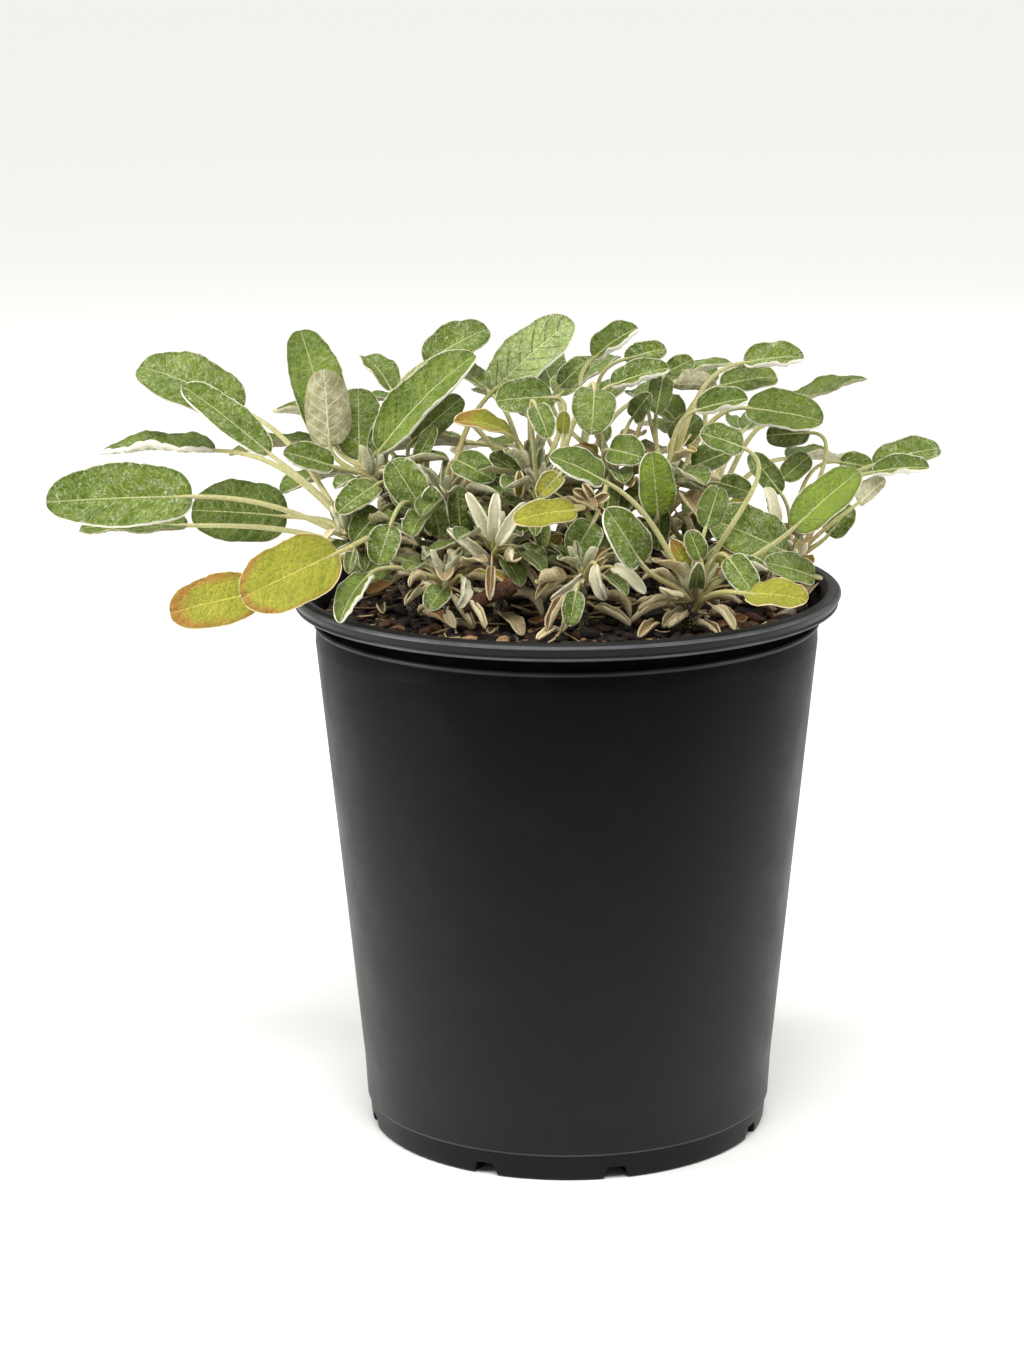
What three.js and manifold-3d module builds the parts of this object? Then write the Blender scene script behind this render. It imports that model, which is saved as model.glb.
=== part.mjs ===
// Red buckwheat (a low, felted garden perennial) growing in a round moulded nursery pot.
// Millimetres, +Z up. The origin is the centre of the flat underside of the pot, which stands on z = 0.
// The front, towards -Y, is the side from which the leaves were measured.
import * as THREE from "three";
import { mergeVertices } from "three/addons/utils/BufferGeometryUtils.js";
import Module from "manifold-3d";

// Driving dimensions of the pot
const RIM_RADIUS = 83;
const RIM_TOP = 171;
const RIM_HEIGHT = 8.5;
const MOUTH_RADIUS = 78.3;
const RIDGE_DROP = 13.7;
const RIDGE_RADIUS = 75;
const FOOT_HEIGHT = 8.5;
const FOOT_RADIUS = 61.6;
const BASE_RADIUS = 57.6;
const WALL = 1.6;
const FLOOR = 3;
const POT_SIDES = 36;

// Drain notches in the bottom corner: pairs a quarter turn apart
const NOTCH_FIRST = -95;
const NOTCH_SPREAD = 18.65;
const NOTCH_HEIGHT = 4;
const NOTCH_BOTTOM = 8;
const NOTCH_TOP = 5.4;
const NOTCH_INNER_RADIUS = 52;

// Soil
const SOIL_DROP = 10;
const SOIL_RELIEF = 1.1;
const GAP = 0.35;
const JOIN_SLACK = 0.08;
const STEM_DEPTH = 13;

// Leaves and their stalks
const BLADE_THICK = 0.8;
const STALK_RADIUS = 1.05;
const STALK_END_RADIUS = 0.34;
const STALK_JOIN = 0.05;
const SHORT_STALK = 18;
const STALKLESS = 9;
const SUNK = 0.15;
const SUNK_COLOURED = 0.5;
const STALK_SIDES = 3;
const STEM_SIDES = 5;
const BORE_SIDES = 6;
const CROWN_STEP = 0.12;
const CROWN_STEPS = 5;
const COLOURED_SHARE = 0.7;
const WAVES = 2;
const CLEARANCE = 2.3;
const SAMPLE_STEP = 3;
const STALK_SAMPLES = 24;
// The parts of a stalk, from the stem, that are let off: beside its shoot's other leaves, and beside its stem.
const LET_OFF = 0.5;
const LET_OFF_STEM = 0.2;
// Steps by which a leaf is shifted in depth, or turned round its crown and lifted, until it is clear.
const SHIFT_STEP = 3;
const TURN_STEP = 6;
const LIFT_STEP = 5;
const DROOP = 35;

// The eye that the leaves were measured from: its distance from the pot's axis and its height over the rim.
// A reading [u, w, depth] is the place (u, w) on the upright plane through the axis, w from the rim's top,
// carried along the line of sight to the given depth behind (or, negative, before) that plane.
const EYE_DISTANCE = 1046;
const EYE_OVER_RIM = 202;
// Leaves seen above this height stand farther back the higher they are, so that the clump is a dome.
const DOME_START = 20;
const DOME_LEAN = 0.5;

const COLOURS = {
  pot: 0x2b2b2c,
  soil: 0x2e231b,
  green: 0x6f8f45,
  yellow: 0xa8a32e,
  orange: 0xb5793a,
  pale: 0xc9c8a8,
  bark: 0x6b4430,
  dead: 0x9a6a3c,
  stone: 0xb9b2a4,
};

// Kinds of leaf: green, dark and smooth are ordinary ones, veined and gold differ in colour alone, back shows
// its felted underside, pale is withered and rolled. These kinds are nodes of their own:
const OWN_NODE = ["yellow", "orange"];

// Measured shoots: foot [x, y] on the soil, crown as a reading, stem radius, then its leaves, one a line:
// kind, base reading, tip reading, width, the way the upper face looks, bow of the midrib, turn-up of the edges.
const SHOOTS = [
  {
    name: "a", foot: [-46, -4], crown: [-66, 13, -10], stem: 2.6,
    leaves: [
      ["green", [-97, 50.3, -2], [-127.5, 63.5, 4], 19, [0, -1, 0.9], 0.08, 0.2],
      ["green", [-89, 37.5, -16], [-114.5, 58, -16], 12, [0.3, -1, 0.5], 0.05, 0.5],
      ["green", [-105.5, 38, 12], [-140, 37.3, 18], 17, [0, -0.15, 1], 0.05, 0.25],
      ["green", [-112.5, 24.7, -12], [-157, 23.2, -18], 21, [0, -1, 0.5], 0.03, 0.2],
      ["dark", [-114.4, 15.3, 8], [-147, 14.4, 12], 17, [0, -0.3, 1], 0.04, 0.2],
      ["dark", [-84, 18, 16], [-113, 20, 18], 20, [0, -1, 0.5], 0.04, 0.1],
      ["orange", [-92, -4, -27], [-120.5, -10.7, -30], 16, [0, -1, 0.45], 0.04, 0.15],
      ["yellow", [-69, 8, -38], [-98.5, -6, -44], 20, [0, -1, 0.4], 0.05, 0.15],
    ],
  },
  {
    name: "b", foot: [36, -29], crown: [38.5, -7, -33], stem: 2.8,
    leaves: [
      ["green", [11, 29.5, -38], [-5, 37, -46], 11, [0, -1, 0.8], 0.08, 0.35],
      ["green", [22.5, 4.5, -46], [12, 21.5, -54], 13, [0.2, -1, 0.3], 0.05, 0.45],
      ["green", [53, 39, -22], [40, 43.5, -26], 10, [0, -1, 0.8], 0.05, 0.3],
      ["smooth", [68.5, 14.5, -30], [88, 32, -32], 13, [-0.2, -1, 0.6], 0.06, 0.2],
      ["green", [49, 6, -42], [57, -6, -50], 9.5, [0, -1, 0.5], 0.06, 0.4],
      ["yellow", [55, -5, -44], [73, -7, -58], 11, [0, -1, 1.2], 0.06, 0.15],
      ["green", [40.7, 5.3, -37], [37, 14.5, -39], 7, [0, -1, 0.4], 0.05, 0.4],
      ["green", [39, -3, -45], [40, 5, -50], 5.5, [0, -1, 0.4], 0.05, 0.4],
      ["dark", [42, 15, -22], [46, 27.5, -22], 9, [0, -1, 0.3], 0.05, 0.3],
    ],
  },
  {
    name: "c", foot: [-34, -28], crown: [-37, -1, -32], stem: 2.2,
    leaves: [
      ["green", [-60, 0.5, -44], [-69, -13.5, -62], 9, [0, -0.6, 1], 0.12, 0.35],
      ["green", [-37, -3, -42], [-42, -10, -50], 8, [0, -1, 0.7], 0.06, 0.35],
      ["pale", [-31.5, 0, -38], [-33, -9.5, -45], 5.5, [1, -0.6, 0.3], 0.08, 0.9],
    ],
  },
  {
    name: "d", foot: [-34, 14], crown: [-57, 29, 6], stem: 2.8,
    leaves: [
      ["green", [-70, 40, 16], [-79, 74, 22], 17, [0.2, -1, 0.3], 0.04, 0.2],
      ["back", [-71, 39.5, 2], [-72.3, 62.7, -4], 15, [0, 1, 0.2], 0.05, 0.35],
      ["green", [-62, 35, 18], [-62, 56.5, 24], 15, [0, -1, 0.4], 0.04, 0.25],
      ["green", [-56, 38, -2], [-27, 67, -8], 17, [-0.5, -1, 0.7], 0.07, 0.45],
      ["green", [-58, 36, 10], [-32, 67, 12], 13, [-0.3, -1, 0.4], 0.05, 0.3],
      ["green", [-70, 33.5, -8], [-85, 38, -13], 10, [0, -1, 0.7], 0.06, 0.35],
      ["green", [-57, 28, -10], [-69, 19.5, -18], 10, [0, -1, 0.8], 0.06, 0.35],
      ["green", [-44.3, 22.3, -14], [-52.5, 35.6, -18], 12.5, [0.1, -1, 0.2], 0.04, 0.35],
      ["dark", [-56, 20, -14], [-64.5, 10.5, -22], 10, [0, -1, 0.6], 0.06, 0.3],
      ["green", [-53, 16, -18], [-57, 4, -26], 10, [0, -1, 0.5], 0.05, 0.3],
      ["green", [-42, 64, 24], [-23, 74, 28], 14, [0, -1, 0.8], 0.06, 0.3],
      ["dark", [-46, 8, 12], [-56, -1, 6], 10, [0, -1, 0.6], 0.05, 0.3],
    ],
  },
  {
    name: "e", foot: [-27, -8], crown: [-37, 24, -4], stem: 2.6,
    leaves: [
      ["veined", [-22, 55.5, -2], [2, 77, -6], 17, [-0.35, -1, 0.5], 0.05, 0.2],
      ["green", [-45, 35, -4], [-39.3, 45.7, -6], 6, [0, -1, 0.2], 0.05, 0.5],
      ["dark", [-46, 41, 6], [-31, 54, 8], 10, [0, -1, 0.4], 0.04, 0.3],
      ["green", [-38, 12.7, -16], [-40.5, 28, -20], 9, [-0.2, -1, 0.2], 0.05, 0.4],
      ["green", [-32, 10.5, -12], [-33, 28, -16], 9, [0.3, -1, 0.2], 0.05, 0.4],
      ["green", [-33, 35.5, -14], [-21.5, 29.5, -20], 10, [0, -1, 0.5], 0.06, 0.35],
      ["dark", [-24, 8, 4], [-14, 21, 4], 9, [0, -1, 0.4], 0.05, 0.3],
      ["dark", [-22, 26, 4], [-15, 38, 2], 9, [0, -1, 0.4], 0.05, 0.3],
      ["green", [-27, 18, -12], [-20, 9, -18], 8, [0, -1, 0.5], 0.05, 0.3],
    ],
  },
  {
    name: "f", foot: [-8, -10], crown: [-9, 27, -8], stem: 2.4,
    leaves: [
      ["yellow", [-16, 42, -16], [-33.5, 47.3, -20], 9, [0, -1, 0.9], 0.08, 0.35],
      ["green", [-4, 54, -4], [-21, 53, -6], 13, [0, -1, 0.7], 0.06, 0.25],
      ["green", [-9, 52, -14], [-5, 42, -20], 8, [0, -1, 0.4], 0.06, 0.4],
      ["green", [8.5, 56.5, -12], [7.5, 43, -18], 14, [0.1, -1, 0.3], 0.05, 0.3],
      ["smooth", [-1, 43, -20], [-0.5, 50.5, -22], 5.5, [0, -1, 0.3], 0.05, 0.6],
      ["yellow", [3, 20.5, -22], [-16, 17.4, -32], 9.5, [0, -1, 0.9], 0.06, 0.2],
      ["gold", [-2, 31, -20], [-8.5, 24, -26], 8, [0, -1, 0.6], 0.06, 0.6],
      ["back", [-8, 14, -18], [-19, 7, -24], 8, [0, 1, 0.3], 0.05, 0.4],
      ["dark", [-2, 9, 4], [8, 20, 4], 9, [0, -1, 0.4], 0.05, 0.3],
      ["green", [-14, 31, -6], [-23, 37, -10], 8, [0, -1, 0.5], 0.05, 0.35],
    ],
  },
  {
    name: "g", foot: [12, 2], crown: [14, 33, 2], stem: 2.4,
    leaves: [
      ["green", [8, 16.5, -24], [2, 6, -31], 11, [0, -1, 0.5], 0.05, 0.3],
      ["green", [8.3, 65.5, 2], [21.5, 74.7, 0], 11, [-0.4, -1, 0.7], 0.08, 0.35],
      ["green", [13.5, 57.5, -6], [30.8, 62.7, -8], 10, [0, -1, 0.9], 0.06, 0.4],
      ["green", [17.5, 65, 14], [30, 68, 16], 8, [0, -1, 0.6], 0.06, 0.3],
      ["dark", [29, 60, -6], [27, 49, -10], 8, [0, -1, 0.4], 0.05, 0.3],
      ["dark", [20, 48, -2], [25.5, 55.5, -4], 7, [0, -1, 0.4], 0.05, 0.3],
      ["green", [-2, 57, 10], [6.5, 65, 12], 8, [0, -1, 0.4], 0.05, 0.3],
      ["green", [13, 38.5, -14], [23.5, 36, -20], 11, [0, -1, 0.5], 0.06, 0.3],
      ["dark", [14, 16.5, -12], [7, 7, -16], 10, [0, -1, 0.4], 0.05, 0.3],
      ["smooth", [27.5, 18.5, -14], [25.5, 38, -20], 12, [0.3, -1, 0.1], 0.04, 0.3],
      ["dark", [18, 9, 2], [29, 15, 0], 10, [0, -1, 0.4], 0.05, 0.3],
      ["green", [6, 27, -4], [-1, 37, -8], 8, [0, -1, 0.4], 0.05, 0.35],
      ["dark", [32, 40, 8], [40, 48, 8], 9, [0, -1, 0.4], 0.05, 0.3],
    ],
  },
  {
    name: "h", foot: [28, 8], crown: [29, 28, 2], stem: 2.4,
    leaves: [
      ["green", [39, 50, -8], [54.5, 53.5, -10], 10, [0, -1, 0.9], 0.06, 0.4],
      ["green", [53, 64, 2], [71, 65.5, 4], 11, [0, -1, 0.9], 0.07, 0.35],
      ["green", [46, 57, 12], [63, 59.5, 16], 10, [0, -1, 0.8], 0.06, 0.35],
      ["green", [54, 50.5, 2], [77, 46.5, -2], 14, [0, -1, 0.6], 0.06, 0.25],
      ["back", [33, 58, -2], [45, 57, -6], 8, [0, 1, 0.3], 0.06, 0.5],
      ["green", [30, 61, 10], [38, 65, 10], 7, [0, -1, 0.5], 0.05, 0.3],
      ["dark", [38, 33, -10], [50, 38, -14], 10, [0, -1, 0.6], 0.05, 0.3],
      ["dark", [36, 11, 4], [47, 19, 2], 10, [0, -1, 0.4], 0.05, 0.3],
      ["green", [46, 28, 0], [56, 25, -4], 8, [0, -1, 0.5], 0.05, 0.3],
    ],
  },
  {
    name: "j", foot: [58, 4], crown: [70, 4, 4], stem: 2.8,
    leaves: [
      ["dark", [73, 43, 8], [60, 42, 12], 9, [0, -1, 0.4], 0.05, 0.3],
      ["dark", [64.5, 25, 0], [55, 37, -4], 8, [0, -1, 0.4], 0.05, 0.4],
      ["green", [65, 29, 10], [73, 36, 12], 8, [0, -1, 0.4], 0.05, 0.3],
      ["green", [82, 34, 14], [92, 32, 18], 8, [0, -1, 0.6], 0.06, 0.3],
      ["green", [92, 33, 12], [112, 38, 16], 11, [0, -1, 0.8], 0.06, 0.3],
      ["green", [92, 31, 0], [109, 32.5, 0], 9, [0, -1, 1], 0.06, 0.4],
      ["back", [88, 22, 2], [96, 29, 0], 8, [0, 1, 0.3], 0.05, 0.6],
      ["green", [66, 7, -12], [43, 17.5, -18], 17, [0.2, -1, 0.5], 0.06, 0.2],
      ["green", [75, -0.5, -18], [59.5, 4, -27], 10, [0.1, -1, 0.8], 0.06, 0.3],
      ["pale", [63, 14, -6], [60, 27, -6], 6, [0.4, -1, 0.3], 0.08, 0.9],
      ["green", [79, 12, 6], [86, 21, 6], 9, [0, -1, 0.5], 0.05, 0.3],
    ],
  },
  {
    name: "p", foot: [-20, -22], crown: [-22, 9, -22], stem: 1.7,
    leaves: [
      ["pale", [-23, 10.5, -23], [-30, 26, -26], 5.5, [0.3, -1, 0], 0.1, 0.9],
      ["pale", [-22, 11, -23.5], [-21, 26, -31], 5.5, [0, -1, 0.1], 0.12, 0.9],
      ["pale", [-20.5, 10, -23], [-12, 23, -27], 5.5, [-0.3, -1, 0], 0.1, 0.9],
      ["pale", [-23.5, 9, -23], [-36, 15, -29], 5, [0, -1, 0.5], 0.1, 0.9],
      ["pale", [-21.5, 8, -24], [-18, -4, -33], 5.5, [0.4, -1, 0.2], 0.12, 0.9],
    ],
  },
  {
    name: "q", foot: [5, -33], crown: [5, 1, -34], stem: 1.5,
    leaves: [
      ["pale", [1, 4, -37], [-5, -7, -41], 5, [0.5, -1, 0.2], 0.14, 1],
      ["pale", [9, 4, -36], [12, -7, -41], 5.5, [-0.5, -1, 0.2], 0.14, 1],
      ["pale", [14, 3, -36], [24, -5, -43], 6, [0, -1, 0.6], 0.1, 0.9],
      ["green", [3, -4, -42], [1, -15, -50], 7, [0, -1, 0.5], 0.08, 0.4],
    ],
  },
];

// Shoots on the far side, set out by rule: foot [x, y], crown [x, y, height over the rim], the heading of the
// middle leaf in degrees (0 is +X, 90 is the back), the spread of the fan and the number of leaves.
const FAR_SHOOTS = [
  { name: "k", foot: [-34, 38], crown: [-46, 48, 14], stem: 2.6, heading: 140, spread: 170, count: 7 },
  { name: "l", foot: [4, 38], crown: [2, 50, 15], stem: 2.6, heading: 95, spread: 190, count: 8 },
  { name: "m", foot: [38, 38], crown: [47, 47, 12], stem: 2.6, heading: 78, spread: 140, count: 7 },
  { name: "n", foot: [-6, 22], crown: [-12, 32, 26], stem: 2.2, heading: 110, spread: 150, count: 4 },
];
const FAR_SEED = 41;
const FAR_STALK = [26, 44];
const FAR_BLADE = [20, 34];
const FAR_RATIO = 0.5;
const FAR_CLIMB = [18, 62];

const rad = THREE.MathUtils.degToRad;
const wasm = await Module();
wasm.setup();

// A closed three.js geometry as a solid, and back.
function solidOf(geometry) {
  const bare = geometry.index ? geometry.clone() : geometry;
  bare.deleteAttribute("normal");
  bare.deleteAttribute("uv");
  const merged = mergeVertices(bare, 1e-4);
  return new wasm.Manifold(
    new wasm.Mesh({
      numProp: 3,
      vertProperties: merged.attributes.position.array,
      triVerts: new Uint32Array(merged.index.array),
    }),
  );
}

// What joining leaves: the outer skin alone, so a hollow that it sealed is filled and a loose scrap is gone.
function outerSkin(solid) {
  const parts = solid.simplify(JOIN_SLACK).decompose();
  return parts.reduce((best, part) => (part.volume() > best.volume() ? part : best));
}

function geometryOf(solid) {
  const { vertProperties, triVerts } = solid.getMesh();
  const geometry = new THREE.BufferGeometry();
  geometry.setAttribute("position", new THREE.BufferAttribute(vertProperties, 3));
  geometry.setIndex(new THREE.BufferAttribute(triVerts, 1));
  geometry.computeVertexNormals();
  return geometry;
}

function geometryFrom(points, faces) {
  const geometry = new THREE.BufferGeometry();
  geometry.setAttribute("position", new THREE.Float32BufferAttribute(points.flat(), 3));
  geometry.setIndex(faces.flat());
  return geometry;
}

const vec = (a) => new THREE.Vector3(...a);

// A reading [u, w, depth] as a place in the part's frame: carried along the line of sight to its depth.
function placeOf([u, w, depth]) {
  const reach = 1 + depth / EYE_DISTANCE;
  return [u * reach, depth, RIM_TOP + EYE_OVER_RIM + (w - EYE_OVER_RIM) * reach];
}

// A leaf's reading with its share of the dome's lean and a further shift in depth.
function leant([u, w, depth], shift) {
  return [u, w, depth + DOME_LEAN * Math.max(0, w - DOME_START) + shift];
}

// A tube through points with a radius at each, closed by flat ends.
function tube(points, radii, sides) {
  const along = vec(points.at(-1)).sub(vec(points[0]));
  const size = along.toArray().map(Math.abs);
  const least = size.indexOf(Math.min(...size));
  const guide = new THREE.Vector3().setComponent(least, 1);
  const rings = [];
  points.forEach((point, i) => {
    const before = vec(points[Math.max(i - 1, 0)]);
    const after = vec(points[Math.min(i + 1, points.length - 1)]);
    const way = after.sub(before).normalize();
    const across = new THREE.Vector3().crossVectors(way, guide).normalize();
    const over = new THREE.Vector3().crossVectors(way, across);
    for (let k = 0; k < sides; k++) {
      const turn = (2 * Math.PI * k) / sides;
      const rim = vec(point)
        .addScaledVector(across, radii[i] * Math.cos(turn))
        .addScaledVector(over, radii[i] * Math.sin(turn));
      rings.push(rim.toArray());
    }
  });
  const faces = [];
  const last = (points.length - 1) * sides;
  for (let i = 0; i + 1 < points.length; i++)
    for (let k = 0; k < sides; k++) {
      const a = i * sides + k;
      const b = i * sides + ((k + 1) % sides);
      faces.push([a, b, b + sides], [a, b + sides, a + sides]);
    }
  for (let k = 1; k + 1 < sides; k++) {
    faces.push([0, k + 1, k]);
    faces.push([last, last + k, last + k + 1]);
  }
  return geometryFrom(rings, faces);
}

// Points of a stalk's or stem's curve: a cubic Bezier from start to end with its two inner handles.
function curvePoints(start, handleA, handleB, end, steps) {
  const curve = new THREE.CubicBezierCurve3(vec(start), vec(handleA), vec(handleB), vec(end));
  return Array.from({ length: steps + 1 }, (_, i) => curve.getPoint(i / steps).toArray());
}

// The frame of a leaf: its axis from base to tip, its upper face's normal and the way across.
function leafFrame(leaf) {
  const axis = vec(leaf.tip).sub(vec(leaf.base));
  const length = axis.length();
  axis.normalize();
  const facing = vec(leaf.facing);
  const normal = facing.addScaledVector(axis, -facing.dot(axis)).normalize();
  const across = new THREE.Vector3().crossVectors(normal, axis);
  return { axis, normal, across, length };
}

// A point of the blade's middle surface. t runs from base to tip, v across from -1 to 1. The outline is an oval
// that is fuller towards the base, its edge swings in and out and up and down in waves, the midrib bows
// towards the upper face and the halves turn up by the leaf's curl.
function bladePoint(leaf, frame, t, v) {
  const side = Math.abs(v);
  const oval = Math.sqrt(Math.max(0, 1 - (2 * t ** 0.88 - 1) ** 2));
  const phase = leaf.phase + (v > 0 ? 1.9 : 0);
  const swing = Math.sin(2 * Math.PI * WAVES * t + phase);
  const half = (leaf.width / 2) * oval * (1 + 0.07 * swing * side);
  const lift =
    leaf.bow * frame.length * 4 * t * (1 - t) +
    half * side * Math.sin(leaf.curl * side) +
    leaf.wave * oval * side * side * Math.sin(2 * Math.PI * WAVES * t + phase + 1.1);
  return vec(leaf.base)
    .addScaledVector(frame.axis, frame.length * t)
    .addScaledVector(frame.across, v * half * Math.cos(leaf.curl * side))
    .addScaledVector(frame.normal, lift);
}

// The stalk's curve: out of the crown, then into the blade along its midrib.
function stalkPoints(leaf, frame, steps) {
  const start = vec(leaf.start);
  const join = bladePoint(leaf, frame, STALK_JOIN, 0);
  const reach = join.distanceTo(start);
  const rise = new THREE.Vector3(0, 0, 0.12 * reach);
  const handleA = start.clone().lerp(join, 0.3).add(rise);
  const handleB = join.clone().addScaledVector(frame.axis, -0.36 * reach);
  return curvePoints(leaf.start, handleA.toArray(), handleB.toArray(), join.toArray(), steps);
}

// The blade as a solid sheet: the same grid on both faces, split into triangles alike, and a strip round the edge.
function blade(leaf) {
  const frame = leafFrame(leaf);
  const rows = frame.length > 24 ? 6 : frame.length > 15 ? 4 : 3;
  const columns = 2;
  const top = [];
  const under = [];
  for (let i = 0; i <= rows; i++) {
    const even = i / rows;
    const eased = (1 - Math.cos(Math.PI * even)) / 2;
    const t = 0.01 + 0.98 * (0.5 * even + 0.5 * eased);
    for (let j = 0; j <= columns; j++) {
      const middle = bladePoint(leaf, frame, t, (2 * j) / columns - 1);
      top.push(middle.clone().addScaledVector(frame.normal, BLADE_THICK / 2).toArray());
      under.push(middle.addScaledVector(frame.normal, -BLADE_THICK / 2).toArray());
    }
  }
  const stride = columns + 1;
  const flip = top.length;
  const faces = [];
  const pair = (a, b, c) => faces.push([a, c, b], [a + flip, b + flip, c + flip]);
  for (let i = 0; i < rows; i++)
    for (let j = 0; j < columns; j++) {
      const a = i * stride + j;
      const b = a + 1;
      const c = a + stride;
      const d = c + 1;
      if (j < columns / 2) {
        pair(a, d, c);
        pair(a, b, d);
      } else {
        pair(a, b, c);
        pair(b, d, c);
      }
    }
  const edge = [];
  for (let j = 0; j < columns; j++) edge.push(j);
  for (let i = 0; i < rows; i++) edge.push(i * stride + columns);
  for (let j = columns; j > 0; j--) edge.push(rows * stride + j);
  for (let i = rows; i > 0; i--) edge.push(i * stride);
  edge.forEach((a, k) => {
    const b = edge[(k + 1) % edge.length];
    faces.push([a, b + flip, a + flip], [a, b, b + flip]);
  });
  return geometryFrom([...top, ...under], faces);
}

// Sample points of a leaf, about SAMPLE_STEP apart, by which it is kept clear of the others.
function samplesOf(leaf) {
  const frame = leafFrame(leaf);
  const rows = Math.ceil(frame.length / SAMPLE_STEP);
  const columns = Math.ceil(leaf.width / 2 / SAMPLE_STEP);
  const points = [];
  for (let i = 0; i <= rows; i++)
    for (let j = -columns; j <= columns; j++)
      points.push([...bladePoint(leaf, frame, i / rows, j / columns).toArray(), 1]);
  const stalk = stalkPoints(leaf, frame, STALK_SAMPLES);
  const reach = vec(stalk[0]).distanceTo(vec(stalk.at(-1)));
  const step = Math.max(1, Math.round((STALK_SAMPLES * SAMPLE_STEP) / Math.max(reach, SAMPLE_STEP)));
  for (let i = 0; i < STALK_SAMPLES; i += step) points.push([...stalk[i], i / STALK_SAMPLES]);
  return points;
}

// How far a leaf's samples stay from the pot's rim and the soil: negative where they reach in.
function potRoom([x, y, z]) {
  const r = Math.hypot(x, y);
  const overRim = z - RIM_TOP;
  const ring = Math.hypot(Math.max(overRim, 0), Math.max(r - RIM_RADIUS, MOUTH_RADIUS - 2 - r, 0));
  const ground = r < RIM_RADIUS ? overRim + SOIL_DROP - SOIL_RELIEF : RIM_TOP;
  return Math.min(ring, ground);
}

// The least distance from a leaf's samples to what is already placed. Stalks of one shoot meet at its crown,
// so there they are let off near it.
function roomFor(samples, leaf, placed) {
  let least = Infinity;
  const centre = new THREE.Vector3();
  samples.forEach((p) => centre.add(new THREE.Vector3(p[0], p[1], p[2])));
  centre.divideScalar(samples.length);
  const radius = Math.max(...samples.map((p) => centre.distanceTo(new THREE.Vector3(p[0], p[1], p[2]))));
  for (const p of samples) least = Math.min(least, potRoom(p));
  for (const other of placed) {
    if (centre.distanceTo(other.centre) > radius + other.radius + CLEARANCE) continue;
    const near = other.shoot === leaf.shoot;
    const fused = near && !OWN_NODE.includes(leaf.kind) && !OWN_NODE.includes(other.kind);
    for (const p of samples) {
      if (fused && p[3] < LET_OFF) continue;
      if (near && other.girth && p[3] < LET_OFF_STEM) continue;
      for (const q of other.samples) {
        if (fused && q[3] < LET_OFF) continue;
        const d = Math.hypot(p[0] - q[0], p[1] - q[1], p[2] - q[2]) - (other.girth ?? 0);
        if (d < least) least = d;
      }
    }
  }
  return { least, centre, radius };
}

// Shifts in depth to try, from the least to the greatest: the base's and the tip's.
const SHIFTS = [];
for (let total = 0; total <= 10; total++)
  for (let tip = -total; tip <= total; tip++)
    for (const base of [total - Math.abs(tip), Math.abs(tip) - total])
      if (Math.abs(base) <= Math.abs(tip) + 1) SHIFTS.push([SHIFT_STEP * base, SHIFT_STEP * tip]);

// Turns to try for a leaf set by rule: round the crown and up or down, in degrees.
const TURNS = [];
for (let total = 0; total <= 6; total++)
  for (let turn = -total; turn <= total; turn++)
    for (const climb of [total - Math.abs(turn), Math.abs(turn) - total]) TURNS.push([TURN_STEP * turn, LIFT_STEP * climb]);

// A crown's place in the part's frame and the stem's curve up to it.
function setShoot(shoot, crown) {
  const foot = [shoot.foot[0], shoot.foot[1], RIM_TOP - SOIL_DROP];
  const rise = crown[2] - foot[2];
  const bend = [foot[0], foot[1], foot[2] + 0.5 * rise];
  const lean = [
    crown[0] - 0.3 * (crown[0] - foot[0]),
    crown[1] - 0.3 * (crown[1] - foot[1]),
    crown[2] - 0.25 * rise,
  ];
  shoot.foot = foot;
  shoot.crown = crown;
  shoot.path = [[foot[0], foot[1], foot[2] - STEM_DEPTH], ...curvePoints(foot, bend, lean, crown, 4)];
}

// Every leaf as { shoot, kind, base, tip, width, facing, bow, curl, wave, phase, start }, kept clear of the rest.
const placed = [];
const leaves = [];

function settle(leaf, tries) {
  let best = null;
  for (const attempt of tries) {
    const trial = { ...leaf, ...attempt };
    const samples = samplesOf(trial);
    const room = roomFor(samples, trial, placed);
    if (!best || room.least > best.room.least) best = { trial, samples, room };
    if (room.least >= CLEARANCE) break;
  }
  return best;
}

function keep({ trial, samples, room }) {
  leaves.push(trial);
  placed.push({ shoot: trial.shoot, kind: trial.kind, samples, centre: room.centre, radius: room.radius });
}

function blockStem(shoot) {
  const samples = [];
  for (let i = 1; i + 1 < shoot.path.length; i++)
    for (let k = 0; k <= 4; k++) {
      const p = vec(shoot.path[i]).lerp(vec(shoot.path[i + 1]), k / 4);
      samples.push([...p.toArray(), 0]);
    }
  const middle = vec(shoot.foot).lerp(vec(shoot.crown), 0.5);
  const radius = vec(shoot.foot).distanceTo(vec(shoot.crown));
  placed.push({ shoot: shoot.name, samples, centre: middle, radius, girth: shoot.stem });
}

// The place on a stem at a share of its height over the soil, 1 being the crown, and the stem's way there.
function stemAt(shoot, share) {
  const visible = shoot.path.slice(1);
  const at = Math.min(share, 0.999) * (visible.length - 1);
  const low = vec(visible[Math.floor(at)]);
  const high = vec(visible[Math.floor(at) + 1]);
  return { seat: low.clone().lerp(high, at % 1), way: high.sub(low).normalize() };
}

// Where a leaf's stalk starts: each one a step lower on the stem than the last and sunk into it, or, for a
// coloured leaf of its own node, below the crown, where the stem is then cut out of it.
function stalkStart(shoot, kind, toward, order) {
  const own = OWN_NODE.includes(kind);
  const { seat, way } = stemAt(shoot, own ? COLOURED_SHARE : 0.97 - CROWN_STEP * (order % CROWN_STEPS));
  const out = vec(toward).sub(seat);
  out.addScaledVector(way, -out.dot(way)).normalize();
  return seat.addScaledVector(out, (own ? SUNK_COLOURED : SUNK) * shoot.stem).toArray();
}

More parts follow.
